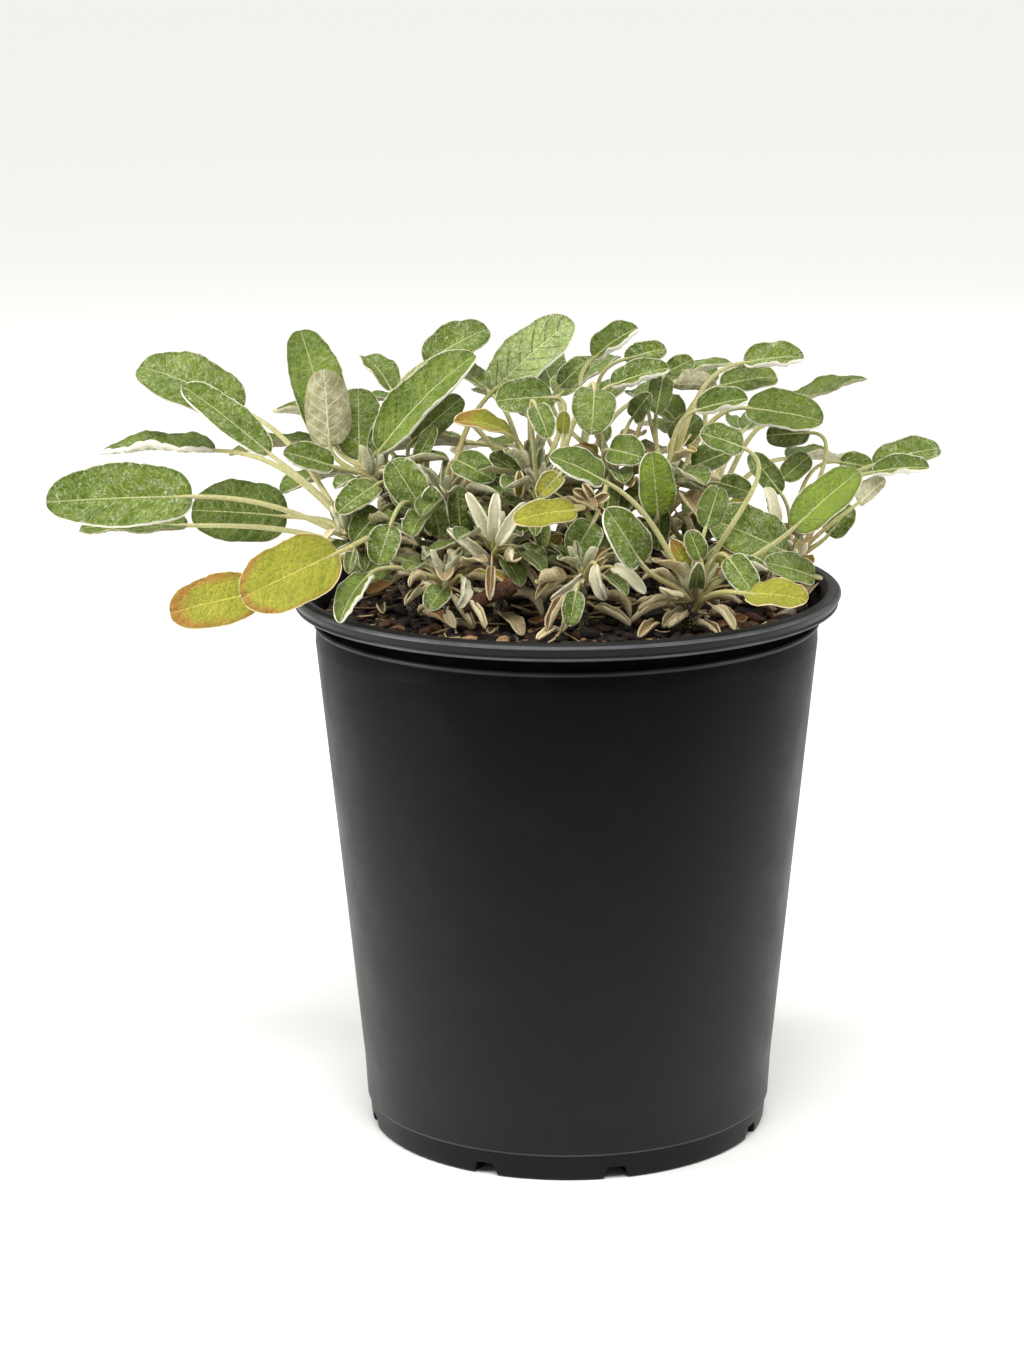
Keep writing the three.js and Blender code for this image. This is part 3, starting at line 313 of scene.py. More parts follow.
# Yellowing, extra felt, painted shade and bright panels of each kind of leaf: the painted shade darkens
# a leaf that lies in the shade of others, and below 0 paints one paler
LOOKS = {
    "green": (0.05, 0.0, 0.1, 0.0),
    "dark": (0.0, 0.0, 0.7, 0.0),
    "smooth": (0.05, 0.0, 0.0, 0.0),
    "veined": (0.1, 0.0, 0.0, 1.0),
    "gold": (0.32, 0.0, 0.0, 0.0),
    "inner": (0.12, 0.06, 0.45, 0.0),
    "back": (0.05, 0.0, 0.6, 0.0),
    "pale": (0.3, 0.95, -0.45, 0.0),
    "yellow": (0.08, 0.0, 0.0, 0.0),
    "orange": (0.38, 0.0, 0.0, 0.0),
    "dead": (0.9, 0.0, 0.3, 0.0),
    "husk": (0.65, 0.2, 0.15, 0.0),
    "wisp": (0.3, 0.8, -0.4, 0.0),
    "grey": (0.1, 0.35, 0.2, 0.0),
    "new": (0.1, 0.25, 0.1, 0.0),
}
# Leaves with a tone of their own, in the same order
TONES = {
    "a7": (0.24, 0.0, 0.0, 0.0),
    "f0": (0.3, 0.0, 0.0, 0.0),
    "f4": (0.6, 0.0, 0.0, 0.0),
    "f6": (0.6, 0.0, 0.0, 0.0),
}

# What grows or hangs on each stem besides the model's leaves: withered leaves, small leaves under the canopy
# and new ones round the crown, with the spans of their lengths and how much coarser their grids are
GOLDEN_TURN = 137.5
REMAINS = 9
REMAINS_LENGTH = (6, 16)
REMAINS_KINDS = ("husk", "wisp", "grey", "husk", "wisp", "husk")
REMAINS_TURNS = (0, 30, -30, 60, -60, 90, -90, 120, -120, 150, 180)
INNER = 17
INNER_LENGTH = (8, 15)
INNER_STALK = (4, 15)
INNER_KINDS = ("inner", "dark", "inner", "green", "inner", "dark", "green", "gold", "grey", "green")
INNER_TURNS = ((0, 0), (25, 0), (-25, 0), (0, 20), (0, -20), (50, 10), (-50, 10), (80, 0), (-80, 0))
LOW_KINDS = ("husk", "grey", "wisp", "grey")
NEAR_RIM = 55.0
WITHERED_UNDER = 4.0
INWARD_SPREAD = 95
NEW_LEAVES = 5
NEW_LENGTH = (5, 10)
SMALL_COARSE = 1.6
SMALL_SEED = 90731
# The numbers from which dead leaves, small leaves and flakes are counted, each number with draws of its own
DEAD_FIRST, SMALL_FIRST, FLAKE_FIRST = 400, 600, 2000
# Pieces of small leaves: name, blade and stalk material, slot and the kinds of leaf in them
SMALL_PIECES = [
    ("withered", "Withered leaf", "Dry straw", "withered_leaf", ("husk", "wisp", "grey")),
    ("inner", "Felted leaf blade", "Felted stalk and woody stem", "foliage", ("inner", "dark", "green")),
    ("new", "Felted new leaf", "Felted stalk and woody stem", "foliage", ("new",)),
    ("turned", "Autumn leaf blade", "Autumn leaf stalk", "autumn_leaf", ("gold",)),
    ("fallen", "Dry dead leaf", "Dry straw", "dead_leaf", ("dead",)),
]

# Small leaves at places of their own: kind, (u, w) of base and tip, depth or None on the soil, width, curl
ODD_LEAVES = [
    ("gold", (-14.4, 24.5), (-14.0, 32.5), -18, 5.0, 1.1),
    ("gold", (-6.5, 7.5), (-1.5, 12.5), -14, 5.0, 0.3),
    ("gold", (41.0, -3.0), (47.8, 2.4), -24, 5.0, 0.6),
    ("gold", (42.5, 2.0), (49.5, 10.0), -20, 6.5, 0.4),
    ("gold", (37.4, 0.5), (31.5, 11.5), -27, 6.0, 0.5),
    ("husk", (8.5, 22.5), (2.0, 26.5), -17, 4.2, 1.0),
    ("husk", (8.5, 22.0), (5.0, 28.5), -19, 4.0, 1.1),
    ("husk", (8.5, 22.5), (13.0, 25.0), -20, 4.2, 0.9),
    ("husk", (8.0, 22.0), (12.0, 18.0), -20, 4.0, 1.2),
    ("husk", (8.0, 22.0), (3.5, 19.5), -16, 3.6, 1.0),
    ("grey", (-20.8, -12.0), (-13.6, -17.8), None, 6.0, 0.2),
    ("dead", (-60.0, -6.0), (-49.0, -2.0), None, 9.0, 0.5),
    ("dead", (-48.0, -6.0), (-37.0, -9.0), None, 8.0, 0.6),
    ("dead", (-44.0, -12.0), (-36.0, -14.5), None, 5.0, 0.8),
    ("inner", (-64.0, 0.0), (-52.0, 4.0), -16, 9.0, 0.4),
    ("husk", (70.5, -8.0), (76.0, -3.5), None, 5.5, 0.7),
    ("husk", (-35.0, -14.5), (-28.5, -16.0), None, 4.0, 0.9),
    ("husk", (22.0, -18.5), (27.5, -15.0), None, 4.5, 0.9),
    ("husk", (39.5, -15.0), (46.5, -18.0), None, 4.0, 0.9),
    ("wisp", (-9.0, -19.0), (-2.0, -16.5), None, 3.5, 1.0),
]
# A broken twig that lies against the stems: its ends as readings, and its thickness
TWIG = ((-31.5, -9.5, -42), (-15.8, -2.0, -40), 4.6)

# Larger litter, each for its own node: place on the soil, length, width, thickness, heading and lifted tip
LITTER = {
    "bark_chip": ((-20, 4), (16, 6, 2.2), 14, 0.6),
    "bark_sliver": ((22, -20), (20, 3.2, 1.8), 128, 0.4),
    "dead_leaf": ((-6, -26), (11, 6.5, 1), -20, 1.6),
    "dead_leaf_small": ((50, -26), (9, 5, 1), 40, 1.2),
    "pebble": ((66, -14), (6, 4.6, 3), 30, 0.0),
    "pebble_small": ((-14, -42), (5, 3.8, 2.6), 80, 0.0),
}
# Fine litter, and the soil's lumps: how high, how broad and the noise's seed
CRUMBS = 1500
STRAWS = 60
FLAKES = 28
CRUMB_SEED, STRAW_SEED, FLAKE_SEED = 71, 72, 73
FLAKE_KINDS = ("husk", "wisp", "grey", "husk")
SOIL_LUMPS = ((0.75, 8.0, 21), (0.6, 4.1, 22), (0.45, 2.2, 23), (0.22, 1.2, 24))

# Colours as sRGB hex values
PLASTIC = "#060607"
PLASTIC_WORN = "#121213"
PLASTIC_HIGHLIGHT = "#77777a"
PEAT = "#241a11"
PEAT_DEEP = "#0c0907"
BARK_DARK = "#2b1a12"
BARK_BROWN = "#6b4229"
BARK_TAN = "#bd9a68"
GRIT = "#c2bbab"
GRIT_STAINED = "#84765f"
FLOOR_COLOUR = "#f4f3f0"

# How far the visible pot's wall stands out from the model's at the ridge, and how far its crest lies below
WALL_OUT = 1.1
CREST_DROP = 2.4
# The pot's glossiness at the foot and under the ridge: it falls up the wall as a painted shade, the wall
# reflecting less the higher it stands
GLOSS_LIT_FOOT = 0.27
GLOSS_SHADED_TOP = 0.055

# The studio, in metres and degrees: light from all sides, the floor, where lamps aim, and a soft sun
WORLD_LIGHT = 0.3
FLOOR_REACH = 60.0
AIM = (0, 0, 0.1)
SUN_PLACE = (0.05, -0.75, 1.6)
SUN_LIGHT = 2.55
SUN_SPREAD = 32.0
# Area lights: name, place, size and power
LIGHTS = [
    ("left_strip", (-1.15, -0.35, 0.35), (0.35, 1.3), 18.0),
    ("right_strip", (1.2, -0.25, 0.35), (0.25, 1.3), 10.0),
    ("top_strip", (-0.25, 0.35, 1.5), (1.4, 0.3), 5.0),
    ("back_light", (0.3, 1.5, 1.0), (1.2, 0.8), 3.0),
]


# Colours as sRGB hex values, and how strongly a blade is puckered, hairy and matt. Deep is also a painted
# shade in the puckers' hollows, silver partly a painted highlight on their high spots, dark also a painted
# shade over a leaf that lies in shade, and lip is painted light on a rolled lip
LEAF_COLOURS = {
    "Felted leaf blade": {
        "deep": "#3f5509", "face": "#5f7714", "light": "#889b30", "fresh": "#82982a", "dark": "#35470d",
        "silver": "#b9c684", "vein": "#c2c588", "hair": "#ccd4ac", "turned": "#a09a28", "felt": "#dcd8bc",
        "felt_shade": "#8e8b62", "lip": "#ebe8d9", "pucker": 0.46, "hairy": 0.62, "roughness": 0.55,
    },
    "Autumn leaf blade": {
        "deep": "#7c8420", "face": "#97982a", "light": "#b2ac36", "fresh": "#a3a42c", "dark": "#84752a",
        "silver": "#c9bf6b", "vein": "#cbbf5e", "hair": "#bdb868", "turned": "#a16a2e", "felt": "#dccfa6",
        "felt_shade": "#b89d68", "lip": "#ebe8d9", "pucker": 0.16, "hairy": 0.16, "roughness": 0.66,
    },
    "Withered leaf": {
        "deep": "#5c4522", "face": "#8a7446", "light": "#b39a63", "fresh": "#8a7a4a", "dark": "#4a2c17",
        "silver": "#b0a880", "vein": "#b8a97c", "hair": "#c4bb94", "turned": "#86592f", "felt": "#e0d4ac",
        "felt_shade": "#9c885a", "lip": "#ebe8d9", "pucker": 0.4, "hairy": 0.4, "roughness": 0.8,
    },
    "Felted new leaf": {
        "deep": "#5c7034", "face": "#7c8c4e", "light": "#9ba36e", "fresh": "#7c8c4e", "dark": "#56683a",
        "silver": "#a9b48a", "vein": "#bcbf92", "hair": "#c2c6a2", "turned": "#a89f50", "felt": "#cbc9ac",
        "felt_shade": "#98996f", "lip": "#ebe8d9", "pucker": 0.4, "hairy": 0.4, "roughness": 0.8,
    },
    "Dry dead leaf": {
        "deep": "#6d4526", "face": "#8c5c34", "light": "#a87a4a", "fresh": "#8c5c34", "dark": "#4f301d",
        "silver": "#b09468", "vein": "#b9935f", "hair": "#c4a97c", "turned": "#a8743f", "felt": "#c9b48c",
        "felt_shade": "#9a7a52", "lip": "#ebe8d9", "pucker": 0.5, "hairy": 0.5, "roughness": 0.8,
    },
}
STALK_COLOURS = {
    "Felted stalk and woody stem": {
        "flesh": "#c6c08c", "shade": "#9d9b60", "green": "#868d4a", "flush": "#a9735a", "turned": "#b5a048",
        "hair": "#cfcba6", "bark": "#4d3b28", "bark_deep": "#1f170e",
    },
    "Autumn leaf stalk": {
        "flesh": "#b9b070", "shade": "#96904f", "green": "#8d9148", "flush": "#a9805a", "turned": "#b9a355",
        "hair": "#d6cfa6", "bark": "#7a5236", "bark_deep": "#40291c",
    },
    "Dry straw": {
        "flesh": "#b8a678", "shade": "#8b744c", "green": "#9c8c5c", "flush": "#8f6a44", "turned": "#c7ae7c",
        "hair": "#d9cca6", "bark": "#7a5236", "bark_deep": "#40291c",
    },
}


def unit(vectors):
    """Each vector over its own length."""
    return vectors / np.linalg.norm(vectors, axis=-1, keepdims=True)


def between(span, share):
    """The value that far along a (low, high) span."""
    return span[0] + (span[1] - span[0]) * share


def place_of(reading):
    """A reading's place: u, and w below the eye, grow by 1 + depth / EYE_DISTANCE along the line of sight."""
    u, w, depth = reading
    reach = 1 + depth / EYE_DISTANCE
    return np.array([u * reach, depth, RIM_TOP + EYE_OVER_RIM + (w - EYE_OVER_RIM) * reach])


def leant(reading, shift):
    """A leaf's reading, moved back by the dome's lean over DOME_START and by a shift."""
    u, w, depth = reading
    return u, w, depth + DOME_LEAN * max(0.0, w - DOME_START) + shift


def toward(heading, up=0.0):
    """The vector along a heading in degrees, one long on the flat, and up."""
    return np.array([math.cos(math.radians(heading)), math.sin(math.radians(heading)), up])


def carry(start, distance, heading, climb):
    """A point at a distance from a start, by heading and climb in degrees."""
    heading, climb = math.radians(heading), math.radians(climb)
    flat = distance * math.cos(climb)
    return start + np.array([flat * math.cos(heading), flat * math.sin(heading), distance * math.sin(climb)])


def bezier(start, handle_a, handle_b, end, share):
    """A cubic Bezier: (1-s)^3 start + 3(1-s)^2 s a + 3(1-s) s^2 b + s^3 end, for an array of shares."""
    s = np.asarray(share, float)[..., None]
    return (1 - s) ** 3 * start + 3 * (1 - s) ** 2 * s * handle_a + 3 * (1 - s) * s**2 * handle_b + s**3 * end


def new_leaf(kind, base, tip, width, facing, **rest):
    """A leaf: its kind, its blade from base to tip, its width and the way its upper face looks. The rest is
    its bow, curl, phase and wave, and where it grows on a stem, its name, its shoot and its stalk's start."""
    usual = {"name": kind, "bow": 0.06, "wave": 0.4 + 0.05 * width, "stalked": True}
    return SimpleNamespace(kind=kind, base=base, tip=tip, width=width, facing=facing, **(usual | rest))


def leaf_frame(leaf):
    """A leaf's axis from base to tip, its upper face's normal, the way across, and its length."""
    span = leaf.tip - leaf.base
    length = np.linalg.norm(span)
    axis = span / length
    facing = np.array(leaf.facing, float)
    normal = unit(facing - axis * facing.dot(axis))
    return axis, normal, np.cross(normal, axis), length


def leaf_half(leaf, t, v):
    """Half the blade's width at t: an oval fuller towards the base, its edge swinging by 7% in two waves."""
    oval = np.sqrt(np.maximum(0, 1 - (2 * t**0.88 - 1) ** 2))
    phase = leaf.phase + np.where(v > 0, 1.9, 0)
    swing = np.sin(2 * math.pi * WAVES * t + phase)
    return oval, phase, leaf.width / 2 * oval * (1 + 0.07 * swing * np.abs(v))


def blade_points(leaf, t, v, fine_half=None, rise=0.0, calm=1.0):
    """The blade's middle surface, t from base to tip and v across from -1 to 1.

    Along the axis it goes by length * t, across by v * half * cos(curl |v|), and it lifts by the midrib's bow
    4 t (1-t), by the turned-up halves |v| half sin(curl |v|) and by a wave that grows with |v| squared. The
    finer forms give half widths of their own, a further lift and a calmer wave.
    """
    axis, normal, across, length = leaf_frame(leaf)
    side = np.abs(v)
    oval, phase, half = leaf_half(leaf, t, v)
    half = half if fine_half is None else fine_half
    lift = (
        leaf.bow * length * 4 * t * (1 - t)
        + half * side * np.sin(leaf.curl * side)
        + calm * leaf.wave * oval * side**2 * np.sin(2 * math.pi * WAVES * t + phase + 1.1)
        + rise
    )
    sideways = v * half * np.cos(leaf.curl * side)
    return (
        leaf.base
        + axis * np.asarray(length * t)[..., None]
        + across * np.asarray(sideways)[..., None]
        + normal * np.asarray(lift)[..., None]
    )


def stalk_points(leaf, share):
    """A stalk's middle line: a Bezier out of the crown, rising a little, then into the blade's midrib."""
    axis = leaf_frame(leaf)[0]
    join = blade_points(leaf, STALK_JOIN, 0.0)
    reach = np.linalg.norm(join - leaf.start)
    handle_a = leaf.start + 0.3 * (join - leaf.start) + np.array([0, 0, 0.12 * reach])
    handle_b = join - 0.36 * reach * axis
    return bezier(leaf.start, handle_a, handle_b, join, share)


def samples_of(leaf):
    """Points of the blade about SAMPLE_STEP apart, marked 1, and of the stalk, marked by how far along it."""
    length = leaf_frame(leaf)[3]
    rows = math.ceil(length / SAMPLE_STEP)
    columns = math.ceil(leaf.width / 2 / SAMPLE_STEP)
    t, v = np.meshgrid(np.arange(rows + 1) / rows, np.arange(-columns, columns + 1) / columns, indexing="ij")
    blade = blade_points(leaf, t, v).reshape(-1, 3)
    stalk = stalk_points(leaf, np.arange(STALK_SAMPLES + 1) / STALK_SAMPLES)
    reach = max(np.linalg.norm(stalk[-1] - stalk[0]), SAMPLE_STEP)
    step = max(1, math.floor(STALK_SAMPLES * SAMPLE_STEP / reach + 0.5))
    kept = np.arange(0, STALK_SAMPLES, step)
    marks = np.concatenate([np.ones(len(blade)), kept / STALK_SAMPLES])
    return np.column_stack([np.concatenate([blade, stalk[kept]]), marks])


def pot_room(points):
    """How far points stay from the pot's rim and the soil: negative where they reach in."""
    r = np.hypot(points[:, 0], points[:, 1])
    over_rim = points[:, 2] - RIM_TOP
    ring = np.hypot(np.maximum(over_rim, 0), np.maximum(0, np.maximum(r - RIM_RADIUS, MOUTH_RADIUS - 2 - r)))
    ground = np.where(r < RIM_RADIUS, over_rim + SOIL_DROP - SOIL_RELIEF, RIM_TOP)
    return np.minimum(ring, ground).min()


def room_for(samples, leaf, placed, floor):
    """The least distance from a leaf's samples to what is placed, given up on once it falls to the floor, and
    the samples' middle and radius. Stalks of one shoot meet at its crown, so they are let off near it."""
    points, marks = samples[:, :3], samples[:, 3]
    centre = points.mean(axis=0)
    radius = np.linalg.norm(points - centre, axis=1).max()
    least = pot_room(points)
    for other in placed:
        if least <= floor:
            break
        if np.linalg.norm(centre - other.centre) > radius + other.radius + CLEARANCE:
            continue
        near = other.shoot == leaf.shoot
        fused = near and leaf.kind not in OWN_NODE and other.kind not in OWN_NODE
        mine = marks >= (LET_OFF if fused else LET_OFF_STEM if near and other.girth else 0)
        theirs = other.samples[:, 3] >= (LET_OFF if fused else 0)
        if mine.any() and theirs.any():
            gaps = points[mine][:, None] - other.samples[theirs][None, :, :3]
            least = min(least, math.sqrt((gaps**2).sum(axis=2).min()) - other.girth)
    return least, centre, radius


def shift_steps():
    """Shifts in depth to try, least first: each base and tip shift whose sizes add up to 0, 1 and so on."""
    for total in range(11):
        for tip in range(-total, total + 1):
            for base in (total - abs(tip), abs(tip) - total):
                if abs(base) <= abs(tip) + 1:
                    yield SHIFT_STEP * base, SHIFT_STEP * tip


def turn_steps():
    """Turns round the crown and climbs to try, least first, in degrees."""
    for total in range(7):
        for turn in range(-total, total + 1):
            for climb in (total - abs(turn), abs(turn) - total):
                yield TURN_STEP * turn, LIFT_STEP * climb


def settle(tries, placed):
    """The first trial leaf that is clear of what is placed, or else the one with the most room."""
    best = None
    for trial in tries:
        samples = samples_of(trial)
        least, centre, radius = room_for(samples, trial, placed, best.least if best else -math.inf)
        if best is None or least > best.least:
            best = SimpleNamespace(leaf=trial, samples=samples, least=least, centre=centre, radius=radius)
            best.shoot, best.kind, best.girth = trial.shoot, trial.kind, 0
        if least >= CLEARANCE:
            break
    return best


def set_shoot(shoot, crown):
    """A shoot's foot and crown, and its stem's Bezier: upright from the soil, then leaning to the crown."""
    foot = np.array([*shoot["foot"], RIM_TOP - SOIL_DROP])
    rise = crown[2] - foot[2]
    bend = foot + np.array([0, 0, 0.5 * rise])
    lean = np.array([*(crown[:2] - 0.3 * (crown[:2] - foot[:2])), crown[2] - 0.25 * rise])
    return SimpleNamespace(
        name=shoot["name"],
        radius=shoot["stem"],
        foot=foot,
        crown=crown,
        handles=(foot, bend, lean, crown),
        path=bezier(foot, bend, lean, crown, np.arange(5) / 4),
    )


def stem_samples(shoot):
    """What a stem blocks: five points on each of its straights, widened by its girth."""
    shares = (np.arange(5) / 4)[None, :, None]
    points = shoot.path[:-1, None] + (shoot.path[1:] - shoot.path[:-1])[:, None] * shares
    points = points.reshape(-1, 3)
    return SimpleNamespace(
        shoot=shoot.name,
        kind="stem",
        samples=np.column_stack([points, np.zeros(len(points))]),
        centre=(shoot.foot + shoot.crown) / 2,
        radius=np.linalg.norm(shoot.crown - shoot.foot),
        girth=shoot.radius,
    )


def stalk_start(shoot, kind, goal, order):
    """Where a stalk leaves its stem: lower for each leaf in turn, or below the crown for a coloured leaf."""
    own = kind in OWN_NODE
    share = COLOURED_SHARE if own else 0.97 - CROWN_STEP * (order % CROWN_STEPS)
    at = min(share, 0.999) * (len(shoot.path) - 1)
    low, high = shoot.path[int(at)], shoot.path[int(at) + 1]
    seat = low + (high - low) * (at % 1)
    way = unit(high - low)
    out = goal - seat
    out = unit(out - way * out.dot(way))
    return seat + out * (SUNK_COLOURED if own else SUNK) * shoot.radius


def measured_tries(shoot, order, row):
    """A measured leaf at each shift in depth. A withered leaf close to its stem sits on it, with no stalk."""
    kind, base, tip, width, facing, bow, curl = row
    for base_shift, tip_shift in shift_steps():
        at = place_of(leant(base, base_shift))
        start = stalk_start(shoot, kind, at, order)
        sits = kind == "pale" and np.linalg.norm(start - at) < STALKLESS
        own = {"name": f"{shoot.name}{order}", "shoot": shoot.name, "start": start, "stalked": not sits}
        bent = {"bow": bow, "curl": curl, "phase": 2.4 * order}
        end = place_of(leant(tip, tip_shift))
        yield new_leaf(kind, start if sits else at, end, width, facing, **own, **bent)


def far_tries(shoot, order, heading, climb, draws):
    """A leaf of the far side at each turn and climb round its crown."""
    stalk = between(FAR_STALK, next(draws))
    length = between(FAR_BLADE, next(draws))
    width = FAR_RATIO * length * (0.9 + 0.3 * next(draws))
    kind = "dark" if next(draws) < 0.3 else "green"
    own = {"name": f"{shoot.name}{order}", "shoot": shoot.name}
    bent = {"curl": 0.2 + 0.25 * next(draws), "phase": 6 * next(draws)}
    for turn, lift in turn_steps():
        base = carry(shoot.crown, stalk, heading + turn, climb + lift)
        tip = carry(base, length, heading + turn, climb + lift - DROOP)
        start = stalk_start(shoot, kind, base, order)
        yield new_leaf(kind, base, tip, width, 0.5 * toward(heading, 2.0), start=start, **own, **bent)


def draws_from(seed):
    """Numbers from 0 to 1, the same on every run: state = state * 1664525 + 1013904223, kept to 32 bits."""
    state = seed
    while True:
        state = (state * 1664525 + 1013904223) & 0xFFFFFFFF
        yield state / 4294967296


@functools.lru_cache(maxsize=None)
def layout():
    """Every shoot, and every leaf in its settled place, in the model's order."""
    near = [set_shoot(shoot, place_of(shoot["crown"])) for shoot in SHOOTS]
    far = [set_shoot(shoot, np.array(shoot["crown"], float) + [0, 0, RIM_TOP]) for shoot in FAR_SHOOTS]
    placed = [stem_samples(shoot) for shoot in near + far]
    leaves = []

    def keep(best):
        leaves.append(best.leaf)
        placed.append(best)

    for shoot, entry in zip(near, SHOOTS):
        for order, row in enumerate(entry["leaves"]):
            keep(settle(measured_tries(shoot, order, row), placed))
    draws = draws_from(FAR_SEED)
    for shoot, entry in zip(far, FAR_SHOOTS):
        for order in range(entry["count"]):
            fan = (order + 0.5) / entry["count"] - 0.5
            heading = entry["heading"] + entry["spread"] * fan + 10 * (next(draws) - 0.5)
            draw = next(draws) * 0.5
            climb = between(FAR_CLIMB, draw if order % 2 else 0.5 + draw)
            best = settle(far_tries(shoot, order, heading, climb, draws), placed)
            if best.least >= CLEARANCE:
                keep(best)
    return near + far, leaves, placed


def lattice_noise(points, size, seed):
    """Smooth noise from -1 to 1 with bumps about size across: a value from a hash at each corner of a cubic
    lattice, blended by 3f^2 - 2f^3 along each edge."""
    at = np.asarray(points, float) / size
    low = np.floor(at).astype(np.int64)
    f = at - low
    f = f * f * (3 - 2 * f)
    total = 0.0
    for corner in np.ndindex(2, 2, 2):
        x, y, z = np.moveaxis(low + np.array(corner), -1, 0)
        code = (x * 73856093 ^ y * 19349663 ^ z * 83492791 ^ seed * 2654435761) & 0xFFFFFFFF
        code = ((code ^ (code >> 13)) * 1274126177) & 0xFFFFFFFF
        value = ((code ^ (code >> 16)) & 0xFFFF) / 32767.5 - 1
        total = total + value * np.prod(np.where(np.array(corner) == 1, f, 1 - f), axis=-1)
    return total


def smooth_step(low, high, value):
    """0 below low, 1 above high and 3x^2 - 2x^3 between."""
    x = np.clip((value - low) / (high - low), 0, 1)
    return x * x * (3 - 2 * x)


def skin(rings, **layers):
    """A closed shape over rings of points, given as (ring, place round it, xyz), with a fan at each end.

    Each layer is an array of the rings' own size with four values, and an end's middle takes its ring's mean.
    """
    count, around = rings.shape[:2]
    step = np.arange(around)
    i, k = np.meshgrid(np.arange(count - 1) * around, step, indexing="ij")
    after = (k + 1) % around
    quads = np.stack([i + k, i + around + k, i + around + after, i + after], axis=-1)
    turn, base = (step + 1) % around, (count - 1) * around
    start_fan = np.stack([step, turn, np.full(around, count * around)], axis=-1)
    end_fan = np.stack([base + turn, base + step, np.full(around, count * around + 1)], axis=-1)

    def flat(values):
        ends = np.stack([values[0].mean(axis=0), values[-1].mean(axis=0)])
        return np.concatenate([values.reshape(-1, values.shape[-1]), ends])

    faces = [quads.reshape(-1, 4), start_fan, end_fan]
    return SimpleNamespace(
        points=flat(rings), faces=faces, layers={name: flat(values) for name, values in layers.items()}
    )


def tube_rings(path, radii, sides, flat=1.0):
    """Rings round a path: radius * (cos across + flat sin over), square to the path's way at each point."""
    way = unit(np.gradient(path, axis=0))
    guide = np.eye(3)[np.argmin(np.abs(path[-1] - path[0]))]
    across = unit(np.cross(way, guide))
    over = np.cross(across, way)
    turn = circle(sides)[:, None]
    ring = across[:, None] * np.cos(turn) + over[:, None] * (flat * np.sin(turn))
    return path[:, None] + ring * radii[:, None, None]


def circle(count):
    """Angles all round, evenly spaced."""
    return 2 * math.pi * np.arange(count) / count


def held(rings, *values):
    """A layer of four values for each point of some rings: each a number, or an array over the rings."""
    parts = [np.broadcast_to(np.asarray(value, float), rings.shape[:2]) for value in values]
    return np.stack(parts, axis=-1)


def joined(shapes):
    """Several shapes as one, with the layers that the first has."""
    offsets = np.cumsum([0] + [len(each.points) for each in shapes[:-1]])
    return SimpleNamespace(
        points=np.concatenate([each.points for each in shapes]),
        faces=[part + offset for each, offset in zip(shapes, offsets) for part in each.faces],
        layers={name: np.concatenate([each.layers[name] for each in shapes]) for name in shapes[0].layers},
    )


def new_object(name, data):
    """An object in the scene, with its data."""
    made = bpy.data.objects.new(name, data)
    bpy.context.scene.collection.objects.link(made)
    return made


def add_piece(name, form, material, slot, *nodes):
    """Makes a shape, in millimetres, a piece that rides on the part's one body and stands for the nodes."""
    mesh = bpy.data.meshes.new(name)
    sides = np.concatenate([np.full(len(part), part.shape[1]) for part in form.faces])
    corners = np.concatenate([part.ravel() for part in form.faces])
    mesh.vertices.add(len(form.points))
    mesh.vertices.foreach_set("co", (form.points * MM).ravel().astype(np.float32))
    mesh.loops.add(len(corners))
    mesh.loops.foreach_set("vertex_index", corners.astype(np.int32))
    mesh.polygons.add(len(sides))
    mesh.polygons.foreach_set("loop_start", (np.cumsum(sides) - sides).astype(np.int32))
    mesh.update(calc_edges=True)
    if mesh.validate():
        raise RuntimeError(name + " has faces that do not hold together")
    for layer, values in form.layers.items():
        colours = mesh.attributes.new(layer, "FLOAT_COLOR", "POINT")
        colours.data.foreach_set("color", values.ravel().astype(np.float32))
    mesh.shade_smooth()
    mesh.materials.append(material)
    piece = new_object(name, mesh)
    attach(piece, "root")
    if nodes:
        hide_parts(*nodes)
    return piece


def linear(code):
    """An sRGB hex colour as linear red, green, blue and alpha: c / 12.92, or ((c + 0.055) / 1.055)^2.4."""
    parts = [int(code[i : i + 2], 16) / 255 for i in (1, 3, 5)]
    return (*(c / 12.92 if c <= 0.04045 else ((c + 0.055) / 1.055) ** 2.4 for c in parts), 1.0)


def fill(tree, node, inputs):
    """Gives a node's inputs, by name or place, their values, or links them to other nodes' outputs."""
    for key, value in inputs.items():
        if isinstance(value, bpy.types.NodeSocket):
            tree.links.new(value, node.inputs[key])
        else:
            node.inputs[key].default_value = value


def add(tree, kind, inputs=None, out=0, **settings):
    """Adds a node with its settings and what goes into it, and returns one of its outputs."""
    node = tree.nodes.new("ShaderNode" + kind)
    for name, value in settings.items():
        setattr(node, name, value)
    fill(tree, node, inputs or {})
    return node.outputs[out] if len(node.outputs) else None


# Settings that many nodes share: a Mix of colours, a MapRange that eases in and out, and kinds of Math
RGBA = {"out": 2, "data_type": "RGBA"}
SMOOTH = {"interpolation_type": "SMOOTHSTEP"}
TIMES = {"operation": "MULTIPLY"}
TIMES_PLUS = {"operation": "MULTIPLY_ADD"}
LESS = {"operation": "SUBTRACT"}
LARGER = {"operation": "MAXIMUM"}


def across_mm(size):
    """The scale at which a pattern's features are so many millimetres across."""
    return 1 / (size * MM)


def layer_values(tree, layer):
    """The four values that a mesh's layer holds."""
    found = add(tree, "Attribute", attribute_name=layer, attribute_type="GEOMETRY").node
    parts = add(tree, "SeparateColor", {0: found.outputs["Color"]}).node
    return *parts.outputs[:3], found.outputs["Alpha"]


